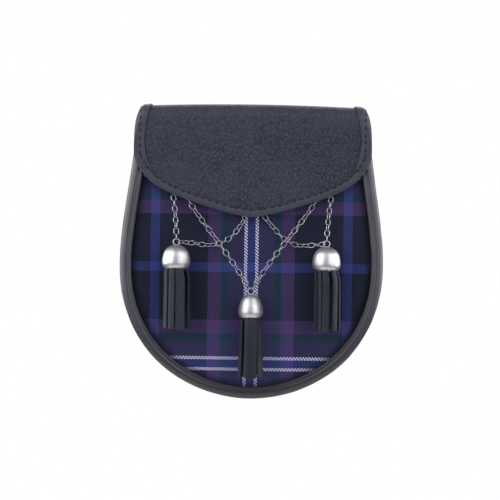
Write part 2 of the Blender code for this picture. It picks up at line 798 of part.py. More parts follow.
def add_chains(name, side):
    """Make the three runs of chain on one side of the pouch."""
    side_eye = eye_centre(SIDE_TASSEL)
    centre_eye = eye_centre(CENTRE_TASSEL)
    tube_end = STAPLE_WIRE / 2 + GAP

    v_start = Vector((SIDE_STAPLE_X - HOOK_SPACING / 2, STAPLE_BAR_Y, SIDE_STAPLE_Z + hook_shift()))
    v_reach = EYE_RADIUS - hook_shift()
    v_end = centre_eye + v_reach * Vector((math.cos(V_LEAN), 0.0, math.sin(V_LEAN)))

    drop_start = Vector((SIDE_STAPLE_X + HOOK_SPACING / 2, STAPLE_BAR_Y, SIDE_STAPLE_Z - tube_end))
    drop_end = side_eye + Vector((0.0, 0.0, EYE_RADIUS + tube_end))

    swag_start = side_eye - Vector((EYE_RADIUS + tube_end, 0.0, 0.0))
    swag_end_x = side * CENTRE_STAPLE_X + CENTRE_HOOK_SPACING / 2
    swag_end = Vector((swag_end_x, STAPLE_BAR_Y, CENTRE_STAPLE_Z - tube_end))

    mirror = Matrix.Diagonal((side, 1.0, 1.0))
    v_route = [mirror @ point for point in smooth_route(v_start, v_end, V_ROUTE)]
    drop_route = [mirror @ point for point in smooth_route(drop_start, drop_end, DROP_ROUTE)]
    swag_rows = SWAG_ROUTE_LEFT if side < 0 else SWAG_ROUTE_RIGHT
    swag_route = [mirror @ point for point in smooth_route(swag_start, swag_end, swag_rows)]
    add_link_chain(f"chain_v_{name}", v_route)
    add_tube_chain(f"chain_drop_{name}", drop_route)
    add_tube_chain(f"chain_swag_{name}", swag_route)


def build():
    """Make every piece of the pouch."""
    clear_scene()
    add_back_and_front_panels()
    add_gusset()
    add_front_rim()
    add_flap()
    add_side_band("side_band_left", -1)
    add_side_band("side_band_right", 1)
    add_belt_loop("belt_loop_left", -LOOP_SPACING / 2)
    add_belt_loop("belt_loop_right", LOOP_SPACING / 2)
    add_press_stud()
    add_staple("chain_staple_left", -SIDE_STAPLE_X, SIDE_STAPLE_Z, STAPLE_WIDTH)
    add_staple("chain_staple_right", SIDE_STAPLE_X, SIDE_STAPLE_Z, STAPLE_WIDTH)
    add_staple("chain_staple_centre", CENTRE_STAPLE_X, CENTRE_STAPLE_Z, CENTRE_STAPLE_WIDTH)
    for tassel in TASSELS:
        add_cap(tassel)
        add_skirt(tassel)
    add_chains("left", -1)
    add_chains("right", 1)


build()
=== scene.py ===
"""Looks of a leather sporran pouch: pebbled flap, rolled rim, tartan front, chains and tassels."""

import logging
import math
import random
from collections.abc import Callable, Iterable, Iterator, Sequence
from contextlib import contextmanager
from dataclasses import dataclass
from enum import Enum

import bmesh
import bpy
from mathutils import Matrix, Vector


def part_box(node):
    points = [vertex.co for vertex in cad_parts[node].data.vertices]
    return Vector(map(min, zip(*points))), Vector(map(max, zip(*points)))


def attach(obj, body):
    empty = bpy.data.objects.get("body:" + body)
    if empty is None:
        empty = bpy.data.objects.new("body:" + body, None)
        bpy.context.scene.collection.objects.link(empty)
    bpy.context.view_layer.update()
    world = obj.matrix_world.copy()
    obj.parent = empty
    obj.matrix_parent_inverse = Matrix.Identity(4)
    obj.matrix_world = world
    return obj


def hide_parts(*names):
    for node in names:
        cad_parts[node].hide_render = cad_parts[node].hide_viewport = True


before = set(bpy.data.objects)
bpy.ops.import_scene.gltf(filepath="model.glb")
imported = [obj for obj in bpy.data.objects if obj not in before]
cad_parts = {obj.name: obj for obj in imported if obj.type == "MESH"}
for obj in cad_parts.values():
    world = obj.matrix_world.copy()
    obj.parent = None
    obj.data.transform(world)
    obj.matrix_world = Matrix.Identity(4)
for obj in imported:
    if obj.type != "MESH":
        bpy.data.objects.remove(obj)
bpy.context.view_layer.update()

MM = 0.001
GAP = 0.3 * MM
log = logging.getLogger("sporran")

Point = tuple[float, float]
REAR = Vector((0.0, 1.0, 0.0))


class Thread(Enum):
    """Yarn colours of the tartan, as linear red, green and blue."""

    DARK = (0.0080, 0.0115, 0.0310)
    BLUE = (0.0320, 0.0500, 0.2350)
    PLUM = (0.0400, 0.0330, 0.1180)
    PURPLE = (0.0760, 0.0420, 0.1600)
    GREEN = (0.0085, 0.0460, 0.0780)
    WHITE = (0.6500, 0.6600, 0.9400)


# Half of the tartan's repeat in threads, out from the middle of a blue line between white ones
SETT = (
    (Thread.BLUE, 5),
    (Thread.WHITE, 4),
    (Thread.PLUM, 20),
    (Thread.GREEN, 9),
    (Thread.PURPLE, 17),
    (Thread.DARK, 61),
    (Thread.BLUE, 6),
)


class Side(Enum):
    """The two sides of the pouch, as the sign of X."""

    LEFT = -1
    RIGHT = 1

    @property
    def word(self) -> str:
        """Name of the side, as the nodes spell it."""
        return self.name.lower()


# Fullness of the pouch outside its plain arc and straight sides: height above the arc's centre and swell,
# both as shares of the arc's radius
OUTLINE_SWELL = (
    (-1.00, 0.0072),
    (-0.92, 0.0098),
    (-0.80, 0.0143),
    (-0.70, 0.0158),
    (-0.56, 0.0132),
    (-0.38, 0.0088),
    (-0.20, 0.0040),
    (-0.06, 0.0008),
    (0.00, 0.0000),
    (0.06, 0.0016),
    (0.16, 0.0085),
    (0.35, 0.0132),
    (0.65, 0.0080),
    (1.10, 0.0036),
)


@dataclass(frozen=True)
class PouchForm:
    """Outline and planes of the pouch, read from the frame."""

    taper: float = math.radians(7.4)
    radius: float = 90 * MM
    full_in: float = 12 * MM
    none_in: float = 50 * MM
    centre_z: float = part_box("front_rim")[0][2] + 90 * MM * (1 + OUTLINE_SWELL[0][1])
    top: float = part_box("front_rim")[1][2]
    rim_front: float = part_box("front_rim")[0][1]
    rim_rear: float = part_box("front_rim")[1][1]
    panel_front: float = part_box("front_panel")[0][1]
    panel_rear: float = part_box("front_panel")[1][1]
    back_rear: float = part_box("back_panel")[1][1]
    back_front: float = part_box("back_panel")[0][1]

    def half_width(self, z: float, inset: float = 0.0) -> float:
        """Return half of the pouch's width at a height.

        Args:
            z: Height in metres.
            inset: Distance inside the silhouette.

        Returns:
            The half width, never below a tenth of a millimetre.
        """
        radius = self.radius - inset
        rise = z - self.centre_z
        if rise > radius * math.sin(self.taper):
            return radius / math.cos(self.taper) - rise * math.tan(self.taper)
        return math.sqrt(max(radius * radius - rise * rise, (0.1 * MM) ** 2))

    def swell(self, z: float) -> float:
        """Return how far the silhouette stands outside its plain line at a height."""
        height = (z - self.centre_z) / self.radius
        height = min(max(height, OUTLINE_SWELL[0][0]), OUTLINE_SWELL[-1][0])
        for (low, first), (high, second) in zip(OUTLINE_SWELL, OUTLINE_SWELL[1:]):
            if height <= high:
                return (first + (second - first) * (height - low) / (high - low)) * self.radius
        return OUTLINE_SWELL[-1][1] * self.radius

    def depth_in(self, x: float, z: float) -> float:
        """Return how far inside the silhouette a point of the front lies."""
        rise = z - self.centre_z
        reach = math.hypot(x, rise)
        if rise > reach * math.sin(self.taper):
            reach = abs(x) * math.cos(self.taper) + rise * math.sin(self.taper)
        return self.radius + self.swell(z) - reach

    def fill_out(self, piece: bpy.types.Object) -> None:
        """Move a piece's vertices from the plain outline to the full one, less towards the middle."""
        for vert in piece.data.vertices:
            across = abs(vert.co.x)
            rise = vert.co.z - self.centre_z
            reach = math.hypot(across, rise)
            if rise > reach * math.sin(self.taper):
                out = Vector((math.cos(self.taper), 0.0, math.sin(self.taper)))
                reach = across * out.x + rise * out.z
            else:
                out = Vector((across, 0.0, rise)) / max(reach, MM)
            inside = self.radius - reach
            share = min(max((self.none_in - inside) / (self.none_in - self.full_in), 0.0), 1.0)
            out *= self.swell(vert.co.z + inside * out.z) * share
            out.x = math.copysign(out.x, vert.co.x)
            vert.co += out


FORM = PouchForm()


def start_clean() -> None:
    """Leave edit mode and deselect everything."""
    if bpy.context.object and bpy.context.object.mode != "OBJECT":
        bpy.ops.object.mode_set(mode="OBJECT")
    bpy.ops.object.select_all(action="DESELECT")


@contextmanager
def edit_mode(piece: bpy.types.Object) -> Iterator[None]:
    """Put one piece in edit mode with everything on it selected."""
    start_clean()
    piece.select_set(True)
    bpy.context.view_layer.objects.active = piece
    bpy.ops.object.mode_set(mode="EDIT")
    bpy.ops.mesh.select_mode(type="VERT")
    bpy.ops.mesh.select_all(action="SELECT")
    yield
    bpy.ops.object.mode_set(mode="OBJECT")


def pick(piece: bpy.types.Object, test: Callable[[Vector], bool]) -> None:
    """Select, in edit mode, the vertices whose place passes a test."""
    bm = bmesh.from_edit_mesh(piece.data)
    for vert in bm.verts:
        vert.select_set(test(vert.co))
    bm.select_flush_mode()
    bmesh.update_edit_mesh(piece.data)


def mend_normals() -> None:
    """Merge doubles and turn the faces outwards, in edit mode."""
    bpy.ops.mesh.select_all(action="SELECT")
    bpy.ops.mesh.remove_doubles(threshold=0.000002)
    bpy.ops.mesh.normals_make_consistent(inside=False)


def apply_modifiers(piece: bpy.types.Object) -> None:
    """Apply every modifier of a piece, in order."""
    start_clean()
    piece.select_set(True)
    bpy.context.view_layer.objects.active = piece
    for modifier in list(piece.modifiers):
        bpy.ops.object.modifier_apply(modifier=modifier.name)


def flip(piece: bpy.types.Object) -> None:
    """Turn every face of a piece the other way."""
    with edit_mode(piece):
        bpy.ops.mesh.flip_normals()


def facing(faces: Iterable[bpy.types.MeshPolygon], way: Vector) -> float:
    """Return how much area faces one way, less what faces away from it."""
    return sum(face.normal.dot(way) * face.area for face in faces)


def join(pieces: Sequence[bpy.types.Object]) -> bpy.types.Object:
    """Join pieces into the first of them."""
    start_clean()
    for piece in pieces:
        piece.select_set(True)
    bpy.context.view_layer.objects.active = pieces[0]
    bpy.ops.object.join()
    return bpy.context.object


def stand(name: str, data: bpy.types.ID) -> bpy.types.Object:
    """Put a new object with this data in the scene."""
    made = bpy.data.objects.new(name, data)
    bpy.context.scene.collection.objects.link(made)
    return made


def round_edges(piece: bpy.types.Object, width: float, segments: int = 2, angle: float = 60.0) -> None:
    """Add a bevel to the edges sharper than an angle in degrees."""
    limit = math.radians(angle)
    add_modifier(piece, "BEVEL", width=width, segments=segments, limit_method="ANGLE", angle_limit=limit)


def settle(piece: bpy.types.Object, name: str, smooth: float = 40.0) -> bpy.types.Object:
    """Name a piece, bake its place into its mesh and shade it smooth up to an angle.

    Args:
        piece: The finished object.
        name: Its new name.
        smooth: Edges sharper than this many degrees stay sharp.

    Returns:
        The same object.
    """
    start_clean()
    piece.select_set(True)
    bpy.context.view_layer.objects.active = piece
    bpy.ops.object.transform_apply(location=True, rotation=True, scale=True)
    bpy.ops.object.shade_smooth_by_angle(angle=math.radians(smooth))
    piece.name = name
    piece.data.name = name
    return piece


def dress(piece: bpy.types.Object, finish: "Finish", nodes: Sequence[str] = ()) -> None:
    """Give a piece its material, its body and the CAD nodes that it stands for."""
    piece.data.materials.clear()
    piece.data.materials.append(finish.material())
    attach(piece, "root")
    if nodes:
        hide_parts(*nodes)
    log.info("made %s with %d faces", piece.name, len(piece.data.polygons))


def add_modifier(piece: bpy.types.Object, kind: str, **values: object) -> None:
    """Add a modifier and set its values."""
    modifier = piece.modifiers.new(kind.lower(), kind)
    for key, value in values.items():
        setattr(modifier, key, value)
    if kind == "SUBSURF":
        modifier.render_levels = modifier.levels


def open_line(points: Sequence[Vector]) -> bpy.types.Object:
    """Return a mesh line through points, started from a circle whose closing edge is cut."""
    start_clean()
    bpy.ops.mesh.primitive_circle_add(vertices=len(points), radius=1.0, fill_type="NOTHING")
    line = bpy.context.object
    for vert, point in zip(line.data.vertices, points):
        vert.co = point
    with edit_mode(line):
        bm = bmesh.from_edit_mesh(line.data)
        bm.verts.ensure_lookup_table()
        ends = {bm.verts[0], bm.verts[len(points) - 1]}
        for edge in bm.edges:
            edge.select_set(set(edge.verts) == ends)
        bpy.ops.mesh.select_mode(type="EDGE")
        bpy.ops.mesh.delete(type="EDGE")
    return line


def turn_profile(profile: Sequence[Point], centre: Vector, steps: int = 48) -> bpy.types.Object:
    """Spin a profile of (radius, height) points about an upright axis.

    Args:
        profile: Points from the axis, round the outline and back to the axis.
        centre: The point on the axis that heights are measured from.
        steps: Faces round the axis.

    Returns:
        A closed turned object.
    """
    piece = open_line([centre + Vector((radius, 0.0, height)) for radius, height in profile])
    with edit_mode(piece):
        bpy.ops.mesh.spin(steps=steps, angle=math.tau, center=centre, axis=(0, 0, 1))
        mend_normals()
    return piece


# Faces along each straight side of what is swept round the pouch
SIDE_STEPS = 12


def sweep_pouch(section: Sequence[Point], top: float, steps: int = 96) -> bpy.types.Object:
    """Carry a closed section round the pouch: spun round the bottom and drawn up both sides.

    Args:
        section: (inset, y) points of the section.
        top: Height of the two open ends.
        steps: Faces round the bottom arc.

    Returns:
        A closed object.
    """
    start_clean()
    bpy.ops.mesh.primitive_circle_add(vertices=len(section), radius=1.0, fill_type="NOTHING")
    piece = bpy.context.object
    out = Vector((-math.cos(FORM.taper), 0.0, math.sin(FORM.taper)))
    base = Vector((0.0, 0.0, FORM.centre_z)) + out * FORM.radius
    for vert, (inset, y) in zip(piece.data.vertices, section):
        vert.co = base - out * inset + Vector((0.0, y, 0.0))
    rise = top - base.z
    climb = Vector((rise * math.tan(FORM.taper), 0.0, rise))
    with edit_mode(piece):
        bpy.ops.mesh.spin(
            steps=steps, angle=math.pi + 2 * FORM.taper, center=(0, 0, FORM.centre_z), axis=(0, 1, 0)
        )
        for side in (1, -1):
            if side < 0:
                pick(piece, lambda co: co.x < 0 and abs((co - base).dot(climb)) < 1e-8)
            for _ in range(SIDE_STEPS):
                step = Vector((-side * climb.x, 0.0, climb.z)) / SIDE_STEPS
                bpy.ops.mesh.extrude_region_move(TRANSFORM_OT_translate={"value": step})
            bpy.ops.mesh.edge_face_add()
        mend_normals()
    FORM.fill_out(piece)
    return piece


class NodeSheet:
    """Adds nodes to one node tree and joins them."""

    def __init__(self, tree: bpy.types.NodeTree) -> None:
        """Keep the tree that nodes are added to."""
        self.tree = tree

    def add(self, kind: str, **settings: object) -> bpy.types.Node:
        """Add a node and set its own settings."""
        node = self.tree.nodes.new(kind)
        for key, value in settings.items():
            setattr(node, key, value)
        return node

    def feed(self, socket: bpy.types.NodeSocket, value: object) -> None:
        """Link a socket to another, or set its value."""
        if isinstance(value, bpy.types.NodeSocket):
            self.tree.links.new(value, socket)
        else:
            socket.default_value = value

    def math(self, operation: str, *values: object, clamp: bool = False) -> bpy.types.NodeSocket:
        """Return the result of a math node."""
        node = self.add("ShaderNodeMath", operation=operation, use_clamp=clamp)
        for socket, value in zip(node.inputs, values):
            self.feed(socket, value)
        return node.outputs[0]

    def mix(
        self, factor: object, first: object, second: object, blend: str = "MIX"
    ) -> bpy.types.NodeSocket:
        """Return one colour mixed into another."""
        node = self.add("ShaderNodeMix", data_type="RGBA", blend_type=blend)
        self.feed(node.inputs[0], factor)
        self.feed(node.inputs[6], first)
        self.feed(node.inputs[7], second)
        return node.outputs[2]

    def spread(
        self, value: object, low: float, high: float, to_low: float, to_high: float
    ) -> bpy.types.NodeSocket:
        """Return a value carried from one range to another, clamped."""
        node = self.add("ShaderNodeMapRange")
        for socket, item in zip(node.inputs, (value, low, high, to_low, to_high)):
            self.feed(socket, item)
        return node.outputs[0]

    def noise(
        self, vector: object, scale: object, detail: float = 3.0, rough: float = 0.5
    ) -> bpy.types.Node:
        """Return a noise node on a vector."""
        node = self.add("ShaderNodeTexNoise")
        self.feed(node.inputs["Vector"], vector)
        self.feed(node.inputs["Scale"], scale)
        node.inputs["Detail"].default_value = detail
        node.inputs["Roughness"].default_value = rough
        return node

    def bump(
        self, height: object, distance: float, strength: float = 1.0, normal: object = None
    ) -> bpy.types.NodeSocket:
        """Return the normal of a height field, over another normal if one is given."""
        node = self.add("ShaderNodeBump")
        node.inputs["Strength"].default_value = strength
        node.inputs["Distance"].default_value = distance
        self.feed(node.inputs["Height"], height)
        if normal is not None:
            self.feed(node.inputs["Normal"], normal)
        return node.outputs[0]


def rgba(colour: Sequence[float]) -> tuple[float, float, float, float]:
    """Return a colour with full alpha."""
    return (colour[0], colour[1], colour[2], 1.0)


def node_group(
    name: str, inputs: dict[str, str], outputs: dict[str, str]
) -> tuple[NodeSheet, object, object]:
    """Start a shader node group.

    Args:
        name: Name of the group.
        inputs: Socket types by input name.
        outputs: Socket types by output name.

    Returns:
        The group's sheet, its input node's sockets and its output node's sockets.
    """
    tree = bpy.data.node_groups.new(name, "ShaderNodeTree")
    for direction, sockets in (("INPUT", inputs), ("OUTPUT", outputs)):
        for socket_name, kind in sockets.items():
            tree.interface.new_socket(socket_name, in_out=direction, socket_type=f"NodeSocket{kind}")
    sheet = NodeSheet(tree)
    return sheet, sheet.add("NodeGroupInput").outputs, sheet.add("NodeGroupOutput").inputs


class Effects:
    """The shader node groups that several finishes share, each built once."""

    _built: dict[str, bpy.types.NodeTree] = {}

    @classmethod
    def place(cls, sheet: NodeSheet, name: str, **values: object) -> bpy.types.Node:
        """Place a group in a material.

        Args:
            sheet: The material's sheet.
            name: Name of the method that builds the group.
            values: Values or sockets for the group's inputs, spaces written as underscores.

        Returns:
            The group node.
        """
        if name not in cls._built:
            cls._built[name] = getattr(cls, name)()
        node = sheet.add("ShaderNodeGroup", node_tree=cls._built[name])
        for key, value in values.items():
            sheet.feed(node.inputs[key.replace("_", " ")], value)
        return node

    @staticmethod
    def pebble_grain() -> bpy.types.NodeTree:
        """Pebbled leather: rounded islands of skin between creases, with finer ones among them."""
        sheet, inp, out = node_group(
            "pebble_grain", {"Vector": "Vector", "Scale": "Float"}, {"Height": "Float", "Crease": "Float"}
        )
        drift = sheet.noise(inp["Vector"], sheet.math("MULTIPLY", inp["Scale"], 0.7), detail=2.0)
        centred = sheet.add("ShaderNodeVectorMath", operation="SUBTRACT")
        sheet.feed(centred.inputs[0], drift.outputs["Color"])
        centred.inputs[1].default_value = (0.5, 0.5, 0.5)
        pushed = sheet.add("ShaderNodeVectorMath", operation="SCALE")
        sheet.feed(pushed.inputs[0], centred.outputs[0])
        sheet.feed(pushed.inputs["Scale"], sheet.math("DIVIDE", 1.1, inp["Scale"]))
        moved = sheet.add("ShaderNodeVectorMath", operation="ADD")
        sheet.feed(moved.inputs[0], inp["Vector"])
        sheet.feed(moved.inputs[1], pushed.outputs[0])
        parts = []
        for feature, low, high in (("DISTANCE_TO_EDGE", 0.0, 0.40), ("F1", 0.66, 0.05)):
            cells = sheet.add("ShaderNodeTexVoronoi", feature=feature)
            sheet.feed(cells.inputs["Vector"], moved.outputs[0])
            sheet.feed(cells.inputs["Scale"], inp["Scale"])
            parts.append(sheet.spread(cells.outputs["Distance"], low, high, 0.0, 1.0))
        flat = sheet.math("MULTIPLY", parts[0], 0.45)
        domed = sheet.math("MULTIPLY", parts[1], 0.55)
        both = sheet.math("ADD", flat, domed)
        patch = sheet.noise(inp["Vector"], sheet.math("MULTIPLY", inp["Scale"], 0.23), detail=2.0)
        worn = sheet.spread(patch.outputs["Fac"], 0.3, 0.7, 0.55, 1.0)
        sheet.feed(out["Height"], sheet.math("MULTIPLY", both, worn))
        sheet.feed(out["Crease"], sheet.math("SUBTRACT", 1.0, both, clamp=True))
        return sheet.tree

    @staticmethod
    def fine_grain() -> bpy.types.NodeTree:
        """Smooth leather: close pores with soft clouding."""
        sheet, inp, out = node_group(
            "fine_grain", {"Vector": "Vector", "Scale": "Float"}, {"Height": "Float", "Tone": "Float"}
        )
        pores = sheet.noise(inp["Vector"], inp["Scale"], detail=4.0, rough=0.6)
        cells = sheet.add("ShaderNodeTexVoronoi", feature="F1")
        sheet.feed(cells.inputs["Vector"], inp["Vector"])
        sheet.feed(cells.inputs["Scale"], sheet.math("MULTIPLY", inp["Scale"], 1.4))
        dimple = sheet.spread(cells.outputs["Distance"], 0.0, 0.5, 0.0, 1.0)
        clouds = sheet.noise(inp["Vector"], sheet.math("MULTIPLY", inp["Scale"], 0.05), detail=3.0)
        dimples = sheet.math("MULTIPLY", dimple, 0.4)
        sheet.feed(out["Height"], sheet.math("ADD", pores.outputs["Fac"], dimples))
        sheet.feed(out["Tone"], clouds.outputs["Fac"])
        return sheet.tree

    @staticmethod
    def twill_weave() -> bpy.types.NodeTree:
        """Two-and-two twill: which thread lies on top, and how high it stands."""
        sheet, inp, out = node_group(
            "twill_weave", {"Across": "Float", "Up": "Float"}, {"Warp on top": "Float", "Height": "Float"}
        )
        step = sheet.math("ADD", sheet.math("FLOOR", inp["Across"]), sheet.math("FLOOR", inp["Up"]))
        phase = sheet.math("FLOORED_MODULO", step, 4.0)
        warp = sheet.math("LESS_THAN", phase, 1.5)
        rounds = []
        for axis in ("Across", "Up"):
            part = sheet.math("FRACT", inp[axis])
            rounds.append(sheet.math("SINE", sheet.math("MULTIPLY", part, math.pi)))
        over = sheet.math("MULTIPLY", warp, rounds[0])
        under = sheet.math("MULTIPLY", sheet.math("SUBTRACT", 1.0, warp), rounds[1])
        sheet.feed(out["Warp on top"], warp)
        sheet.feed(out["Height"], sheet.math("ADD", over, under))
        return sheet.tree

    @staticmethod
    def rubbed_dust() -> bpy.types.NodeTree:
        """A light bloom of dust on what faces up, and rubbed patches."""
        sheet, inp, out = node_group(
            "rubbed_dust",
            {"Color": "Color", "Rubbed": "Color", "Rub": "Float", "Dust": "Float", "Vector": "Vector"},
            {"Color": "Color"},
        )
        patch = sheet.noise(inp["Vector"], 55.0, detail=5.0, rough=0.6)
        patches = sheet.spread(patch.outputs["Fac"], 0.52, 0.72, 0.0, 1.0)
        rubbed = sheet.math("MULTIPLY", patches, inp["Rub"])
        colour = sheet.mix(rubbed, inp["Color"], inp["Rubbed"])
        geometry = sheet.add("ShaderNodeNewGeometry")
        split = sheet.add("ShaderNodeSeparateXYZ")
        sheet.feed(split.inputs[0], geometry.outputs["Normal"])
        facing_up = sheet.spread(split.outputs["Z"], 0.2, 1.0, 0.0, 1.0)
        speck = sheet.noise(inp["Vector"], 900.0, detail=3.0)
        specks = sheet.math("MULTIPLY", facing_up, speck.outputs["Fac"])
        dusty = sheet.math("MULTIPLY", specks, inp["Dust"])
        sheet.feed(out["Color"], sheet.mix(dusty, colour, (0.35, 0.34, 0.33, 1.0)))
        return sheet.tree


@dataclass(frozen=True)
class Finish:
    """A surface finish. Its material is made when it is first asked for."""

    name: str

    def material(self) -> bpy.types.Material:
        """Return this finish's material, making it once."""
        label = f"{self.name}_finish"
        if label in bpy.data.materials:
            return bpy.data.materials[label]
        made = bpy.data.materials.new(label)
        made.use_nodes = True
        sheet = NodeSheet(made.node_tree)
        shader = made.node_tree.nodes["Principled BSDF"]
        coords = sheet.add("ShaderNodeTexCoord").outputs["Object"]
        self.paint(sheet, shader, coords)
        return made

    def paint(self, sheet: NodeSheet, shader: bpy.types.Node, coords: bpy.types.NodeSocket) -> None:
        """Join the finish's nodes to its shader."""
        raise NotImplementedError


# Name of the flap's own attribute: 1 where its leather is pebbled, 0 on its smooth margin
GRAIN_MASK = "grain_mask"

# Name of the cloth's own attribute: how far each point lies inside the silhouette, in metres; it places the
# painted shade on the cloth beside the rim
EDGE_DEPTH = "edge_depth"


@dataclass(frozen=True)
class PebbledLeather(Finish):
    """Dark blue-grey leather with a pebble grain."""

    name: str = "pebbled_leather"
    base: tuple[float, float, float] = (0.047, 0.050, 0.078)
    # Painted shade: colour of the creases between the pebbles
    crease: tuple[float, float, float] = (0.008, 0.010, 0.021)
    margin: tuple[float, float, float] = (0.044, 0.047, 0.068)
    pebble: float = 1.7 * MM
    relief: float = 0.5 * MM
    slant: float = math.radians(-24)
    stretch: float = 0.72
    rubbed: tuple[float, float, float] = (0.042, 0.044, 0.066)
    pulled_z: tuple[float, float] = (4 * MM, 30 * MM)
    pulled: float = 0.65
    flattened: float = 0.75

    def paint(self, sheet: NodeSheet, shader: bpy.types.Node, coords: bpy.types.NodeSocket) -> None:
        """Join the pebble grain, the painted shade in its creases and its pores."""
        mapping = sheet.add("ShaderNodeMapping")
        sheet.feed(mapping.inputs["Vector"], coords)
        mapping.inputs["Rotation"].default_value = (0.0, self.slant, 0.0)
        mapping.inputs["Scale"].default_value = (1.0, 1.0, self.stretch)
        grain = Effects.place(sheet, "pebble_grain", Vector=mapping.outputs[0], Scale=1 / self.pebble)
        pores = Effects.place(sheet, "fine_grain", Vector=coords, Scale=2600.0)
        grained = sheet.add("ShaderNodeAttribute", attribute_name=GRAIN_MASK).outputs["Fac"]
        split = sheet.add("ShaderNodeSeparateXYZ")
        sheet.feed(split.inputs[0], coords)
        taut = sheet.spread(split.outputs["Z"], *self.pulled_z, 1.0, self.pulled)
        clouds = sheet.noise(coords, 34.0, detail=2.0).outputs["Fac"]
        patches = sheet.spread(clouds, 0.40, 0.62, self.flattened, 1.0)
        depth = sheet.math("MULTIPLY", taut, patches)
        # Painted shade: the creases between pebbles are coloured darker, as deep as the grain is
        crease = sheet.math("MULTIPLY", grain.outputs["Crease"], depth)
        toned = sheet.mix(crease, rgba(self.base), rgba(self.crease))
        toned = sheet.mix(grained, rgba(self.margin), toned)
        dusted = Effects.place(
            sheet, "rubbed_dust", Color=toned, Rubbed=rgba(self.rubbed), Rub=0.4, Dust=0.02, Vector=coords
        )
        sheet.feed(shader.inputs["Base Color"], dusted.outputs["Color"])
        raised = grain.outputs["Height"]
        sheet.feed(shader.inputs["Roughness"], sheet.spread(raised, 0.0, 1.0, 0.62, 0.42))
        fine = sheet.bump(pores.outputs["Height"], 0.03 * MM, 0.5)
        height = sheet.math("MULTIPLY", raised, sheet.spread(grained, 0.0, 1.0, 0.15, 1.0))
        height = sheet.math("MULTIPLY", height, depth)
        sheet.feed(shader.inputs["Normal"], sheet.bump(height, self.relief, 1.0, fine))
        shader.inputs["Specular IOR Level"].default_value = 0.32


@dataclass(frozen=True)
class SmoothLeather(Finish):
    """Smooth dark leather with fine pores and a soft gloss, with painted shade darkening it towards the
    pouch's foot.
    """

    name: str = "rim_leather"
    base: tuple[float, float, float] = (0.034, 0.035, 0.050)
    deep: tuple[float, float, float] = (0.021, 0.022, 0.033)
    gloss: float = 0.36
    dust: float = 0.02
    sheen: float = 0.6
    # Painted shade: share of the colour taken away at the pouch's foot, faded in over foot_z
    foot: float = 0.25
    foot_z: tuple[float, float] = (-178 * MM, -118 * MM)

    def paint(self, sheet: NodeSheet, shader: bpy.types.Node, coords: bpy.types.NodeSocket) -> None:
        """Join the pores, clouding, long creases and the painted shade at the foot."""
        grain = Effects.place(sheet, "fine_grain", Vector=coords, Scale=1700.0)
        toned = sheet.mix(grain.outputs["Tone"], rgba(self.deep), rgba(self.base))
        dusted = Effects.place(
            sheet, "rubbed_dust", Color=toned, Rubbed=rgba([part * 1.5 for part in self.base]),
            Rub=0.5, Dust=self.dust, Vector=coords,
        )
        # Painted shade: the colour grows darker towards the bottom of the pouch
        split = sheet.add("ShaderNodeSeparateXYZ")
        sheet.feed(split.inputs[0], coords)
        low = sheet.spread(split.outputs["Z"], *self.foot_z, 1.0 - self.foot, 0.0)
        colour = sheet.mix(low, dusted.outputs["Color"], (0.0, 0.0, 0.0, 1.0))
        sheet.feed(shader.inputs["Base Color"], colour)
        rough = sheet.spread(grain.outputs["Tone"], 0.3, 0.7, self.gloss + 0.08, self.gloss)
        sheet.feed(shader.inputs["Roughness"], rough)
        creases = sheet.noise(coords, 160.0, detail=5.0, rough=0.65)
        broad = sheet.bump(creases.outputs["Fac"], 0.25 * MM, 0.5)
        sheet.feed(shader.inputs["Normal"], sheet.bump(grain.outputs["Height"], 0.05 * MM, 0.7, broad))
        shader.inputs["Specular IOR Level"].default_value = self.sheen


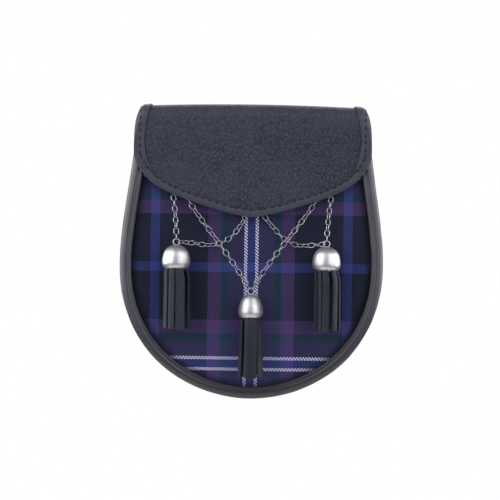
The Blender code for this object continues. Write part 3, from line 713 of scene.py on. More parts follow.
@dataclass(frozen=True)
class TartanCloth(Finish):
    """Worsted tartan in a two-and-two twill, striped alike both ways from its sett."""

    name: str = "tartan_cloth"
    lint: tuple[float, float, float] = (0.25, 0.25, 0.32)
    pitch: float = 0.54 * MM
    pivot_x: float = 0.0
    pivot_z: float = -144.5 * MM
    drift: float = 0.9
    # Painted shade on the cloth next to the rim: from shaded at the rim's inner edge to none, over these
    # depths
    shaded_in: tuple[float, float] = (8.3 * MM, 13.2 * MM)
    shaded: float = 0.28

    def stripe(self, sheet: NodeSheet, threads: bpy.types.NodeSocket) -> bpy.types.NodeSocket:
        """Return the colour of the thread with a given number from the pivot."""
        total = sum(count for _, count in SETT)
        number = sheet.math("ADD", sheet.math("FLOOR", threads), 0.5)
        folded = sheet.math("DIVIDE", sheet.math("PINGPONG", number, float(total)), float(total))
        ramp = sheet.add("ShaderNodeValToRGB")
        ramp.color_ramp.interpolation = "CONSTANT"
        sheet.feed(ramp.inputs[0], folded)
        start = 0
        for index, (thread, count) in enumerate(SETT):
            if index < 2:
                stop = ramp.color_ramp.elements[index]
                stop.position = start / total
            else:
                stop = ramp.color_ramp.elements.new(start / total)
            stop.color = rgba(thread.value)
            start += count
        return ramp.outputs["Color"]

    def paint(self, sheet: NodeSheet, shader: bpy.types.Node, coords: bpy.types.NodeSocket) -> None:
        """Join the stripes both ways with the weave that shows one or the other."""
        split = sheet.add("ShaderNodeSeparateXYZ")
        sheet.feed(split.inputs[0], coords)
        wander = sheet.noise(coords, 60.0, detail=2.0).outputs["Fac"]
        drift = sheet.math("MULTIPLY", sheet.math("SUBTRACT", wander, 0.5), self.drift)
        threads = []
        for axis, pivot in (("X", self.pivot_x), ("Z", self.pivot_z)):
            moved = sheet.math("SUBTRACT", split.outputs[axis], pivot)
            threads.append(sheet.math("ADD", sheet.math("DIVIDE", moved, self.pitch), drift))
        weave = Effects.place(sheet, "twill_weave", Across=threads[0], Up=threads[1])
        warp = self.stripe(sheet, threads[0])
        weft = self.stripe(sheet, threads[1])
        colour = sheet.mix(weave.outputs["Warp on top"], weft, warp)
        # Painted light and shade of the weave: thread crowns lighter, the hollows between threads darker
        weave_painted_light = sheet.spread(weave.outputs["Height"], 0.0, 0.9, 0.32, 1.20)
        # Painted shade: the cloth darkens as it nears the rim's inner edge
        depth = sheet.add("ShaderNodeAttribute", attribute_name=EDGE_DEPTH).outputs["Fac"]
        rim_painted_shade = sheet.spread(depth, *self.shaded_in, self.shaded, 1.0)
        shaded = sheet.math("MULTIPLY", weave_painted_light, rim_painted_shade)
        shade = sheet.add("ShaderNodeCombineColor")
        for socket in shade.inputs:
            sheet.feed(socket, shaded)
        colour = sheet.mix(1.0, colour, shade.outputs[0], "MULTIPLY")
        fuzz = sheet.noise(coords, 3500.0, detail=2.0).outputs["Fac"]
        lint = sheet.math("MULTIPLY", sheet.spread(fuzz, 0.62, 0.8, 0.0, 1.0), 0.12)
        sheet.feed(shader.inputs["Base Color"], sheet.mix(lint, colour, rgba(self.lint)))
        sheet.feed(shader.inputs["Roughness"], sheet.spread(fuzz, 0.2, 0.8, 0.78, 0.92))
        soft = sheet.bump(fuzz, 0.06 * MM, 0.5)
        sheet.feed(shader.inputs["Normal"], sheet.bump(weave.outputs["Height"], 0.16 * MM, 0.8, soft))
        shader.inputs["Specular IOR Level"].default_value = 0.25
        shader.inputs["Sheen Weight"].default_value = 0.12
        shader.inputs["Sheen Roughness"].default_value = 0.4


@dataclass(frozen=True)
class PolishedMetal(Finish):
    """Cast or drawn white metal, lightly scuffed, with duller patches."""

    name: str = "pewter"
    base: tuple[float, float, float] = (0.62, 0.615, 0.635)
    tarnish: tuple[float, float, float] = (0.42, 0.415, 0.44)
    rough: float = 0.42
    scuff: float = 0.08

    def paint(self, sheet: NodeSheet, shader: bpy.types.Node, coords: bpy.types.NodeSocket) -> None:
        """Join the metal's ripple, its scuffs and its tarnish."""
        clouds = sheet.noise(coords, 260.0, detail=4.0, rough=0.6).outputs["Fac"]
        dull = sheet.spread(clouds, 0.52, 0.78, 0.0, 0.7)
        sheet.feed(shader.inputs["Base Color"], sheet.mix(dull, rgba(self.base), rgba(self.tarnish)))
        scratch = sheet.noise(coords, 2400.0, detail=3.0).outputs["Fac"]
        rough = sheet.spread(scratch, 0.35, 0.75, self.rough, self.rough + self.scuff)
        sheet.feed(shader.inputs["Roughness"], rough)
        shader.inputs["Metallic"].default_value = 1.0
        ripple = sheet.noise(coords, 420.0, detail=2.0).outputs["Fac"]
        sheet.feed(shader.inputs["Normal"], sheet.bump(ripple, 0.06 * MM, 0.5))


@dataclass(frozen=True)
class WaxedThread(Finish):
    """Twisted waxed thread, nearly black."""

    name: str = "waxed_thread"
    base: tuple[float, float, float] = (0.012, 0.012, 0.018)
    worn: tuple[float, float, float] = (0.03, 0.03, 0.04)

    def paint(self, sheet: NodeSheet, shader: bpy.types.Node, coords: bpy.types.NodeSocket) -> None:
        """Join the thread's twist and its worn fibres."""
        twist = sheet.add("ShaderNodeTexWave", wave_type="BANDS", bands_direction="DIAGONAL")
        sheet.feed(twist.inputs["Vector"], coords)
        twist.inputs["Scale"].default_value = 900.0
        shade = sheet.spread(twist.outputs["Fac"], 0.0, 1.0, 0.0, 0.6)
        sheet.feed(shader.inputs["Base Color"], sheet.mix(shade, rgba(self.base), rgba(self.worn)))
        shader.inputs["Roughness"].default_value = 0.7
        shader.inputs["Specular IOR Level"].default_value = 0.2
        sheet.feed(shader.inputs["Normal"], sheet.bump(twist.outputs["Fac"], 0.08 * MM, 0.6))


PEBBLED = PebbledLeather()
RIM_LEATHER = SmoothLeather()
BAND_LEATHER = SmoothLeather("band_leather", (0.050, 0.052, 0.074), (0.037, 0.038, 0.056), 0.52, 0.02, 0.3)
BODY_LEATHER = SmoothLeather("body_leather", (0.028, 0.029, 0.042), (0.017, 0.018, 0.027), 0.50, 0.05, 0.4)
STRIP_LEATHER = SmoothLeather("strip_leather", (0.017, 0.021, 0.036), (0.009, 0.011, 0.021), 0.58, 0.0, 0.3)
TARTAN = TartanCloth()
PEWTER = PolishedMetal()
STEEL = PolishedMetal("steel", (0.42, 0.42, 0.455), (0.15, 0.15, 0.175), 0.22, 0.10)
THREAD = WaxedThread()


# Front of the rolled rim: share of its width inwards, share of its rise back from its crest
RIM_FACE = (
    (0.00, 1.00),
    (0.02, 0.80),
    (0.07, 0.60),
    (0.14, 0.42),
    (0.23, 0.26),
    (0.33, 0.12),
    (0.43, 0.03),
    (0.53, 0.00),
    (0.62, 0.08),
    (0.69, 0.17),
    (0.76, 0.16),
    (0.84, 0.06),
    (0.92, 0.08),
    (0.98, 0.26),
    (1.00, 0.50),
)


@dataclass
class Rim:
    """The rolled leather rim that frames the cloth."""

    width: float = 8.3 * MM
    lip: float = 1.2 * MM
    unevenness: float = 0.35 * MM

    def section(self) -> list[Point]:
        """Return the rolled section as (inset, y) points, the lip's rear edge first."""
        front = FORM.rim_front
        face = FORM.panel_front - GAP
        rise = face - front
        points = [
            (self.lip, FORM.rim_rear),
            (self.lip * 0.45, FORM.rim_rear),
            (0.05 * MM, FORM.rim_rear - 0.9 * MM),
            (0.0, face + 2.0 * MM),
        ]
        points += [(self.width * across, front + rise * down) for across, down in RIM_FACE]
        points += [(self.width, face), (self.lip, face)]
        return points

    def build(self) -> bpy.types.Object:
        """Spin the section round the pouch and soften it."""
        piece = sweep_pouch(self.section(), FORM.top)
        add_modifier(piece, "SUBSURF", levels=1)
        clouds = bpy.data.textures.new("rim_hand_work", "CLOUDS")
        clouds.noise_scale = 20 * MM
        add_modifier(
            piece, "DISPLACE", texture=clouds, texture_coords="GLOBAL", strength=self.unevenness,
            mid_level=0.5,
        )
        apply_modifiers(piece)
        settle(piece, "rolled_rim", 60)
        dress(piece, RIM_LEATHER, ["front_rim"])
        return piece


@dataclass
class Gusset:
    """The side and bottom wall with its sewn-in edges and a sagging middle."""

    inset: float = 1.5 * MM
    thick: float = 1.8 * MM
    flange: float = 8.0 * MM
    sag: float = 2.0 * MM
    steps: int = 12

    def section(self) -> list[Point]:
        """Return the channel section as (inset, y) points."""
        rear = FORM.back_front - GAP
        front = FORM.panel_rear + GAP
        depth = rear - front
        outer = []
        inner = []
        for step in range(self.steps + 1):
            share = step / self.steps
            dip = self.sag * math.sin(math.pi * share) ** 1.4
            outer.append((self.inset + dip, rear - depth * share))
            y = rear - self.thick - (depth - 2 * self.thick) * share
            inner.append((self.inset + self.thick + dip, y))
        turned = [(self.inset + self.flange, front), (self.inset + self.flange, front + self.thick)]
        back = [(self.inset + self.flange, rear - self.thick), (self.inset + self.flange, rear)]
        return outer + turned + list(reversed(inner)) + back

    def build(self) -> bpy.types.Object:
        """Spin the channel round the pouch."""
        piece = sweep_pouch(self.section(), FORM.top, 72)
        settle(piece, "side_gusset", 50)
        dress(piece, BODY_LEATHER, ["gusset"])
        return piece


def pouch_sheet(
    name: str, inset: float, front: float, thick: float, ripple: Callable[[float, float], float],
    edge: float,
) -> bpy.types.Object:
    """Make a sheet of the pouch's outline from a grid, front face first.

    Args:
        name: Name of the piece.
        inset: Distance inside the silhouette.
        front: Y of its front face.
        thick: Its thickness.
        ripple: How far the face stands forward at (x, z).
        edge: Radius of its rounded edge.

    Returns:
        The sheet as a closed object.
    """
    start_clean()
    bpy.ops.mesh.primitive_grid_add(x_subdivisions=72, y_subdivisions=88, size=2.0)
    piece = bpy.context.object
    bottom = FORM.centre_z - FORM.radius + inset
    height = FORM.top - bottom
    for vert in piece.data.vertices:
        share = (vert.co.y + 1) / 2
        z = bottom + height * (1 - math.cos(share * math.pi / 2)) ** 0.9
        x = vert.co.x * FORM.half_width(z, inset)
        vert.co = Vector((x, front - ripple(x, z), z))
    FORM.fill_out(piece)
    with edit_mode(piece):
        mend_normals()
    if facing(piece.data.polygons, REAR) > 0:
        flip(piece)
    add_modifier(piece, "SOLIDIFY", thickness=thick, offset=-1.0)
    round_edges(piece, edge)
    apply_modifiers(piece)
    return settle(piece, name, 50)


@dataclass
class ClothFront:
    """The tartan cloth stretched over the front board, behind the rim."""

    inset: float = 1.5 * MM
    swell: float = 0.25 * MM
    held_in: float = 9.5 * MM
    fade_run: float = 12 * MM
    area_rows: int = 200

    def ripple(self, x: float, z: float) -> float:
        """Return how far the cloth stands forward of its plane, nothing under the rim."""
        room = FORM.half_width(z, self.held_in) - abs(x)
        low = z - (FORM.centre_z - FORM.radius + self.held_in)
        fade = max(min(min(room, low) / self.fade_run, 1.0), 0.0)
        wave = math.sin(x * 61 + z * 23) * math.sin(z * 47 - x * 19)
        return fade * self.swell * (0.6 + 0.4 * wave)

    def build(self) -> bpy.types.Object:
        """Stretch the cloth, store each point's depth inside the silhouette and work out its width row by
        row.
        """
        thick = FORM.panel_rear - FORM.panel_front
        piece = pouch_sheet("tartan_front", self.inset, FORM.panel_front, thick, self.ripple, 0.2 * MM)
        dress(piece, TARTAN, ["front_panel"])
        low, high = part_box("front_panel")
        height = high[2] - low[2]
        # Each point's depth inside the silhouette sets the painted shade beside the rim
        values = piece.data.attributes.new(EDGE_DEPTH, "FLOAT", "POINT").data
        for vert, value in zip(piece.data.vertices, values):
            value.value = FORM.depth_in(vert.co.x, vert.co.z)
        heights = [low[2] + height * (row + 0.5) / self.area_rows for row in range(self.area_rows)]
        widths = [2 * (FORM.half_width(z, self.inset) + FORM.swell(z)) for z in heights]
        return piece


@dataclass
class BackPanel:
    """The leather back of the body."""

    inset: float = 1.5 * MM

    def build(self) -> bpy.types.Object:
        """Make the back, a flat panel of the pouch's outline."""
        thick = FORM.back_rear - FORM.back_front
        piece = pouch_sheet("leather_back", self.inset, FORM.back_front, thick, lambda x, z: 0.0, 0.6 * MM)
        dress(piece, BODY_LEATHER, ["back_panel"])
        return piece


# Half of the flap's lower edge: share of the half width, share of the apron's drop
APRON_EDGE = (
    (0.00, 1.000),
    (0.13, 0.964),
    (0.26, 0.902),
    (0.42, 0.805),
    (0.59, 0.691),
    (0.72, 0.586),
    (0.80, 0.497),
    (0.86, 0.416),
    (0.907, 0.312),
    (0.94, 0.248),
    (0.976, 0.126),
    (1.00, 0.000),
)


@dataclass
class FlapForm:
    """The flap's surface, from the foot of its tail over the top and down the front."""

    half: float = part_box("flap")[1][0]
    top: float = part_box("flap")[1][2]
    tip: float = -44.2 * MM
    tail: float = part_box("flap")[0][2]
    front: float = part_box("flap")[0][1]
    thick: float = 1.8 * MM
    corner_z: float = -3.5 * MM
    tail_bottom: float = -31 * MM
    tail_corner: float = 13 * MM
    fold: float = 9.5 * MM
    crown: float = 2 * MM
    shoulder_across: float = 7.5 * MM
    shoulder_drop: float = 20 * MM
    straight_from: float = 0.9
    fold_steps: int = 12

    def edge_z(self, x: float) -> float:
        """Return the height of the flap's lower edge at x, from a curve through its table."""
        share = min(abs(x) / self.half, 1.0)
        rows = [(-APRON_EDGE[1][0], APRON_EDGE[1][1])] + list(APRON_EDGE)
        for index in range(1, len(rows) - 1):
            if share <= rows[index + 1][0]:
                break
        (x0, y0), (x1, y1), (x2, y2) = rows[index - 1], rows[index], rows[index + 1]
        t = (share - x1) / (x2 - x1)
        if share > self.straight_from:
            down = y1 + (y2 - y1) * t
        else:
            x3, y3 = rows[index + 2]
            slope_a = (y2 - y0) / (x2 - x0) * (x2 - x1)
            slope_b = (y3 - y1) / (x3 - x1) * (x2 - x1)
            down = (
                (2 * t ** 3 - 3 * t * t + 1) * y1 + (t ** 3 - 2 * t * t + t) * slope_a
                + (3 * t * t - 2 * t ** 3) * y2 + (t ** 3 - t * t) * slope_b
            )
        return self.corner_z + (self.tip - self.corner_z) * down

    def rounded(self, x: float, straight: float, drop: float) -> float:
        """Return how far a rounded corner has fallen at x."""
        past = max(abs(x) - (self.half - straight), 0.0) / straight
        return drop * (1 - math.sqrt(max(1 - min(past, 1.0) ** 2, 0.0)))

    def path(self, x: float, low_z: float) -> list[tuple[Vector, Vector]]:
        """Return dense points and outward normals of the outer face at one x, tail first."""
        top = self.top - self.crown * (x / self.half) ** 2
        top -= self.rounded(x, self.shoulder_across, self.shoulder_drop)
        tail = self.tail_bottom + self.rounded(x, self.tail_corner, self.tail_corner)
        path = [(Vector((x, 0.0, tail)), REAR)]
        for centre_y, first in ((-self.fold, 0), (self.front + self.fold, 90)):
            for step in range(self.fold_steps + 1):
                angle = math.radians(first + 90 * step / self.fold_steps)
                out = Vector((0.0, math.cos(angle), math.sin(angle)))
                path.append((Vector((x, centre_y, top - self.fold)) + out * self.fold, out))
        path.append((Vector((x, self.front, low_z)), -REAR))
        return path

    def along(self, x: float, low_z: float, shares: Sequence[float]) -> list[tuple[Vector, Vector]]:
        """Return points and normals at shares of the path's length."""
        path = self.path(x, low_z)
        lengths = [0.0]
        for (first, _), (second, _) in zip(path, path[1:]):
            lengths.append(lengths[-1] + (second - first).length)
        found = []
        index = 0
        for share in shares:
            target = share * lengths[-1]
            while index < len(path) - 2 and lengths[index + 1] < target:
                index += 1
            part = (target - lengths[index]) / (lengths[index + 1] - lengths[index])
            point = path[index][0].lerp(path[index + 1][0], part)
            normal = path[index][1].lerp(path[index + 1][1], part).normalized()
            found.append((point, normal))
        return found


FLAP = FlapForm()


def flap_outline(turns: int = 72, rises: int = 8) -> list[Point]:
    """Return the right half of the flap's front outline as (x, z), from its tip round and up the side.

    Args:
        turns: Steps along the lower edge.
        rises: Steps up the side.
    """
    across = [FLAP.half * math.sin(math.pi / 2 * step / turns) for step in range(turns + 1)]
    rise = FLAP.top - FLAP.fold - FLAP.shoulder_drop - FLAP.corner_z
    side = [(FLAP.half, FLAP.corner_z + rise * step / rises) for step in range(1, rises + 1)]
    return [(x, FLAP.edge_z(x)) for x in across] + side


OUTLINE = flap_outline()


def edge_distance(x: float, z: float) -> float:
    """Return how far a point on the flap's front lies inside its outline."""
    best = FLAP.half - abs(x)
    for (x0, z0), (x1, z1) in zip(OUTLINE, OUTLINE[1:]):
        across, up = x1 - x0, z1 - z0
        share = ((abs(x) - x0) * across + (z - z0) * up) / (across * across + up * up)
        share = min(max(share, 0.0), 1.0)
        best = min(best, math.hypot(abs(x) - x0 - across * share, z - z0 - up * share))
    return max(best, 0.0)


@dataclass
class Flap:
    """The pebbled leather flap with its pressed margin."""

    columns: int = 120
    rows: int = 130
    margin: float = 4.6 * MM
    press: float = 0.45 * MM
    press_run: float = 0.8 * MM
    roll: float = 1.1 * MM
    roll_run: float = 3.0 * MM

    def lift(self, point: Vector, normal: Vector) -> float:
        """Return how far the outer face stands out: pressed at its stitches, rolled back at its edge."""
        if normal.y > -0.5:
            return 0.0
        inside = edge_distance(point.x, point.z)
        pressed = -self.press * math.exp(-((inside - self.margin) / self.press_run) ** 2)
        rolled = -self.roll * max(1 - inside / self.roll_run, 0.0) ** 2
        return pressed + rolled

    def mask(self, piece: bpy.types.Object) -> None:
        """Write where the leather is pebbled: all of it but the margin outside the stitches."""
        values = piece.data.attributes.new(GRAIN_MASK, "FLOAT", "POINT").data
        blend = 1.2 * MM
        for vert, value in zip(piece.data.vertices, values):
            in_front = vert.co.y < -FLAP.fold - 20 * MM
            inside = edge_distance(vert.co.x, vert.co.z) if in_front else self.margin * 2
            value.value = min(max((inside - self.margin + blend / 2) / blend, 0.0), 1.0)

    def build(self) -> bpy.types.Object:
        """Wrap a grid over the flap's path, give it its thickness and round its edge."""
        start_clean()
        bpy.ops.mesh.primitive_grid_add(x_subdivisions=self.columns, y_subdivisions=self.rows, size=2.0)
        piece = bpy.context.object
        across = self.columns + 1
        verts = piece.data.vertices
        shares = [1 - (1 - row / self.rows) ** 1.25 for row in range(self.rows + 1)]
        for column in range(across):
            x = FLAP.half * math.sin(verts[column].co.x * math.pi / 2)
            for row, (point, normal) in enumerate(FLAP.along(x, FLAP.edge_z(x), shares)):
                verts[row * across + column].co = point + normal * self.lift(point, normal)
        front_faces = [face for face in piece.data.polygons if abs(face.center.y - FLAP.front) < 1 * MM]
        if facing(front_faces, REAR) > 0:
            flip(piece)
        self.mask(piece)
        add_modifier(piece, "SOLIDIFY", thickness=FLAP.thick, offset=-1.0)
        round_edges(piece, 0.5 * MM, 3)
        apply_modifiers(piece)
        settle(piece, "pebbled_flap", 50)
        dress(piece, PEBBLED, ["flap"])
        return piece


# The band's inner line on the flap's front: height in mm, distance from the middle in mm
BAND_LINE = (
    (31.3, 69.3),
    (19.8, 73.0),
    (7.6, 74.2),
    (-4.6, 72.4),
    (-11.0, 69.6),
)


@dataclass
class SideBand:
    """The smooth band stitched along one side edge of the flap, over the top and down the front."""

    side: Side
    thick: float = 1.0 * MM
    ridge: float = 0.25 * MM
    foot_z: float = -12.0 * MM
    edge_gap: float = 1.2 * MM
    skive: float = 3.5 * MM
    seam_in: float = 4.4 * MM
    seam_press: float = 0.15 * MM
    start_share: float = 0.36
    columns: int = 16
    rows: int = 96

    @staticmethod
    def inner_x(z: float) -> float:
        """Return the distance of the band's inner line from the middle at a height on the front."""
        height = min(max(z / MM, BAND_LINE[-1][0]), BAND_LINE[0][0])
        for (z0, x0), (z1, x1) in zip(BAND_LINE, BAND_LINE[1:]):
            if height >= z1:
                share = (z0 - height) / (z0 - z1)
                ease = share + 0.5 * share * (1 - share) * (1 if x1 > x0 else -0.6)
                return (x0 + (x1 - x0) * ease) * MM
        return BAND_LINE[-1][1] * MM

    def low_at(self, x: float) -> float:
        """Return the height of the band's foot at x, clear of the flap's edge."""
        return max(FLAP.edge_z(x) + self.edge_gap, self.foot_z)

    def rise(self, x: float, z: float, low: float, front: bool) -> float:
        """Return how far the band's outer face stands off the flap at a point."""
        thin = min(max((z - low) / self.skive, 0.0), 1.0) if front else 1.0
        crest = self.ridge * math.exp(-((x - self.inner_x(z) - 1.1 * MM) / (0.8 * MM)) ** 2)
        seam = 0.0
        if front:
            past = (edge_distance(x, z) - self.seam_in) / (0.7 * MM)
            seam = -self.seam_press * math.exp(-past ** 2)
        return GAP * 0.5 + (self.thick * 0.75 + crest + seam) * (0.2 + 0.8 * thin)

    def build(self) -> bpy.types.Object:
        """Wrap a narrow grid over the flap's side edge, skive its foot and thicken it."""
        start_clean()
        bpy.ops.mesh.primitive_grid_add(x_subdivisions=self.columns, y_subdivisions=self.rows, size=2.0)
        piece = bpy.context.object
        verts = piece.data.vertices
        across = self.columns + 1
        body = piece.vertex_groups.new(name="full_thickness")
        for row in range(self.rows + 1):
            share = self.start_share + (1 - self.start_share) * row / self.rows
            for column in range(across):
                outward = math.sin(column / self.columns * math.pi / 2)
                x = 76 * MM
                for _ in range(3):
                    point, normal = FLAP.along(x, self.low_at(x), [share])[0]
                    inner = self.inner_x(point.z) if normal.y < -0.01 else BAND_LINE[0][1] * MM
                    x = inner + (FLAP.half - inner) * outward
                low = self.low_at(x)
                point, normal = FLAP.along(x, low, [share])[0]
                front = normal.y < -0.9
                point = point + normal * self.rise(x, point.z, low, front)
                verts[row * across + column].co = Vector((point.x * self.side.value, point.y, point.z))
                thin = min(max((point.z - low) / self.skive, 0.0), 1.0) if front else 1.0
                body.add([row * across + column], thin, "REPLACE")
        if facing([face for face in piece.data.polygons if face.normal.y ** 2 > 0.9], REAR) > 0:
            flip(piece)
        add_modifier(
            piece, "SOLIDIFY", thickness=self.thick * 0.6, offset=-1.0, vertex_group="full_thickness",
            thickness_vertex_group=0.15,
        )
        round_edges(piece, 0.12 * MM)
        apply_modifiers(piece)
        settle(piece, f"edge_band_{self.side.word}", 50)
        dress(piece, BAND_LEATHER, [f"side_band_{self.side.word}"])
        return piece


@dataclass
class Stitching:
    """Rows of waxed stitches, one stitch modelled and the rest copied."""

    length: float = 2.7 * MM
    wide: float = 1.2 * MM
    high: float = 0.7 * MM
    pitch: float = 4.9 * MM
    inside: float = 4.4 * MM
    corner: float = 0.9 * MM
    first_share: float = 0.45

    def stitch(self) -> bpy.types.Object:
        """Return one stitch along X, lying on its back at the origin."""
        start_clean()
        bpy.ops.mesh.primitive_uv_sphere_add(
            segments=8, ring_count=6, radius=1.0, rotation=(0, math.pi / 2, 0)
        )
        made = bpy.context.object
        made.scale = (self.high / 2, self.wide / 2, self.length / 2)
        bpy.ops.object.transform_apply(location=True, rotation=True, scale=True)
        return made

    def run(self, name: str, line: Sequence[tuple[Vector, Vector]], slot: str) -> bpy.types.Object:
        """Lay stitches along a line of (point, normal) pairs.

        Args:
            name: Name of the joined piece.
            line: Dense points on the leather with outward normals.
            slot: Not used; the leather that it is sewn through.

        Returns:
            The joined stitches.
        """
        master = self.stitch()
        made = []
        gone = 0.0
        for (first, normal), (second, _) in zip(line, line[1:]):
            step = second - first
            gone += step.length
            if gone < self.pitch or step.length == 0:
                continue
            gone -= self.pitch
            along = step.normalized()
            side = normal.cross(along).normalized()
            place = Matrix((along, side, normal)).transposed().to_4x4()
            place.translation = second + normal * (self.high * 0.15)
            copy = stand("stitch", master.data.copy())
            copy.data.transform(place)
            made.append(copy)
        bpy.data.objects.remove(master, do_unlink=True)
        piece = settle(join(made), name, 60)
        dress(piece, THREAD)
        return piece

    def flap_line(self) -> list[tuple[Vector, Vector]]:
        """Return the stitch line on the flap, from the left of the top round to the right."""
        half = []
        band = SideBand(Side.RIGHT)
        fold_z = OUTLINE[-1][1]
        count = 60
        for index in range(count):
            share = self.first_share + (1 - self.first_share) * index / (count - 1)
            point, normal = FLAP.along(FLAP.half - self.inside, fold_z, [share])[0]
            half.append((point + normal * (GAP * 0.5 + band.thick * 0.6), normal))
        for (x0, z0), (x1, z1) in reversed(list(zip(OUTLINE, OUTLINE[1:]))):
            tangent = math.atan2(z1 - z0, x1 - x0)
            inside = self.inside + self.corner * math.exp(-((math.degrees(tangent) - 50) / 18) ** 2)
            x = (x0 + x1) / 2 - math.sin(tangent) * inside
            z = (z0 + z1) / 2 + math.cos(tangent) * inside
            low = band.low_at(x)
            on_band = x > band.inner_x(z) and z > low
            rise = band.rise(x, z, low, True) if on_band else -0.3 * MM
            half.append((Vector((x, FLAP.front - rise, z)), -REAR))
        mirrored = [(Vector((-p.x, p.y, p.z)), Vector((-n.x, n.y, n.z))) for p, n in half]
        return mirrored + list(reversed(half))


@dataclass
class BeltLoop:
    """One leather loop sewn to the flap's tail."""

    side: Side
    thick: float = 2.2 * MM
    half_clear: float = 13 * MM

    def build(self) -> bpy.types.Object:
        """Bend a strap over the CAD loop's profile."""
        node = f"belt_loop_{self.side.word}"
        low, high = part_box(node)
        middle = (low[0] + high[0]) / 2
        half_length = (high[2] - low[2]) / 2
        top_y = high[1] - self.thick
        foot = low[1]
        start_clean()
        bpy.ops.mesh.primitive_grid_add(x_subdivisions=10, y_subdivisions=56, size=2.0)
        piece = bpy.context.object
        for vert in piece.data.vertices:
            z = vert.co.y * half_length
            past = (abs(z) - self.half_clear + 0.6 * MM) / (3.4 * MM)
            rise = 1 - min(max(past, 0.0), 1.0)
            ease = rise * rise * (3 - 2 * rise)
            x = middle + vert.co.x * (high[0] - low[0]) / 2
            vert.co = Vector((x, foot + (top_y - foot) * ease, z))
        if facing(piece.data.polygons, REAR) < 0:
            flip(piece)
        add_modifier(piece, "SOLIDIFY", thickness=self.thick, offset=1.0)
        round_edges(piece, 0.5 * MM, 3)
        apply_modifiers(piece)
        settle(piece, f"strap_loop_{self.side.word}", 50)
        dress(piece, BODY_LEATHER, [node])
        return piece


# Turned outline of a skirt's head: share of its radius, height above the cap's mouth in mm
SKIRT_HEAD = ((0.0, 5.0), (0.9, 5.0), (1.0, 4.0), (1.0, -0.6), (0.9, -1.2), (0.0, -1.2))


@dataclass
class Tassel:
    """One tassel: a cast cap with its ring, and a skirt of leather strips."""

    name: str
    outline: Sequence[Point]
    strips: Sequence[tuple[float, float, float, float]]
    swing: float
    wall: float = 1.0 * MM
    ring_radius: float = 2.1 * MM
    ring_wire: float = 0.68 * MM
    strip_thick: float = 1.3 * MM
    tuck: float = 1.6 * MM

    def __post_init__(self) -> None:
        """Read the cap's place from the frame."""
        low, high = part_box(f"tassel_cap_{self.name}")
        self.radius = (high[0] - low[0]) / 2
        self.top = high[2] - 2 * self.ring_radius - 0.45 * MM
        self.height = self.top - low[2] + 0.5 * MM
        self.centre = Vector(((low[0] + high[0]) / 2, (low[1] + high[1]) / 2, self.top))

    def build_cap(self) -> bpy.types.Object:
        """Turn the cap, cast its ring on top and join them."""
        outer = [(radius * self.radius, -down * self.height) for down, radius in self.outline]
        inner = [(max(r - self.wall, 0.0), z) for r, z in outer if -z > 0.4 * self.height]
        profile = [(0.0, 0.0)] + outer + list(reversed(inner)) + [(0.0, inner[0][1])]
        cap = turn_profile(profile, self.centre)
        round_edges(cap, 0.25 * MM, angle=50)
        add_modifier(cap, "SUBSURF", levels=1)
        apply_modifiers(cap)
        start_clean()
        bpy.ops.mesh.primitive_torus_add(
            major_radius=self.ring_radius, minor_radius=self.ring_wire / 2, major_segments=40,
            minor_segments=12, location=self.centre + Vector((0, 0, self.ring_radius)),
            rotation=(math.pi / 2, 0, 0),
        )
        ring = bpy.context.object
        bpy.ops.object.transform_apply(location=True, rotation=True, scale=True)
        piece = settle(join([cap, ring]), f"pewter_cap_{self.name}", 50)
        dress(piece, PEWTER, [f"tassel_cap_{self.name}"])
        return piece

    def strip(
        self, angle: float, width: float, length: float, splay: float, source: random.Random
    ) -> bpy.types.Object:
        """Return one hanging strip.

        Args:
            angle: Where it hangs round the head, in degrees to the right of the front.
            width: Its width in metres.
            length: Its length below the cap.
            splay: How far its foot stands out, in metres.
            source: Seeded numbers for its twist and drift.

        Returns:
            The strip as a closed object.
        """
        start_clean()
        bpy.ops.mesh.primitive_grid_add(x_subdivisions=6, y_subdivisions=24, size=2.0)
        made = bpy.context.object
        mouth = self.top - self.height
        turned = math.radians(angle)
        out = Vector((math.sin(turned), -math.cos(turned), 0.0))
        beside = Vector((math.cos(turned), math.sin(turned), 0.0))
        twist = source.uniform(-0.10, 0.10)
        drift = source.uniform(-0.5, 0.5) * MM
        curl = source.uniform(0.2, 0.5) * MM
        gather = 0.72 * self.radius
        full = self.radius - self.strip_thick * 0.8
        for vert in made.data.vertices:
            down = (1 - vert.co.y) / 2
            across = vert.co.x * width / 2 * (0.90 + 0.10 * min(down * 4, 1.0))
            reach = gather + (full - gather) * min(down * 7, 1.0) ** 0.7 + splay * down
            bow = curl * (1 - vert.co.x ** 2)
            point = out * (reach + bow + twist * across * down) + beside * (across + drift * down * down)
            hung = self.centre.x + self.swing * min(down * 5, 1.0)
            z = mouth + self.tuck - (length + self.tuck) * down
            vert.co = Vector((hung, self.centre.y, z)) + point
        if facing(made.data.polygons, out) < 0:
            flip(made)
        add_modifier(made, "SOLIDIFY", thickness=self.strip_thick, offset=-1.0)
        round_edges(made, 0.2 * MM)
        apply_modifiers(made)
        return made

    def build_skirt(self) -> bpy.types.Object:
        """Hang the strips round the head and join them."""
        source = random.Random(len(self.name) * 7 + 3)
        low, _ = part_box(f"tassel_skirt_{self.name}")
        full_length = self.top - self.height - low[2]
        pieces = [
            self.strip(angle, width * MM, full_length * length, splay * MM, source)
            for angle, width, length, splay in self.strips
        ]
        head_radius = 0.70 * self.radius
        profile = [(head_radius * share, rise * MM - self.height) for share, rise in SKIRT_HEAD]
        head = turn_profile(profile, self.centre, 24)
        piece = settle(join([head] + pieces), f"leather_skirt_{self.name}", 50)
        dress(piece, STRIP_LEATHER, [f"tassel_skirt_{self.name}"])
        return piece


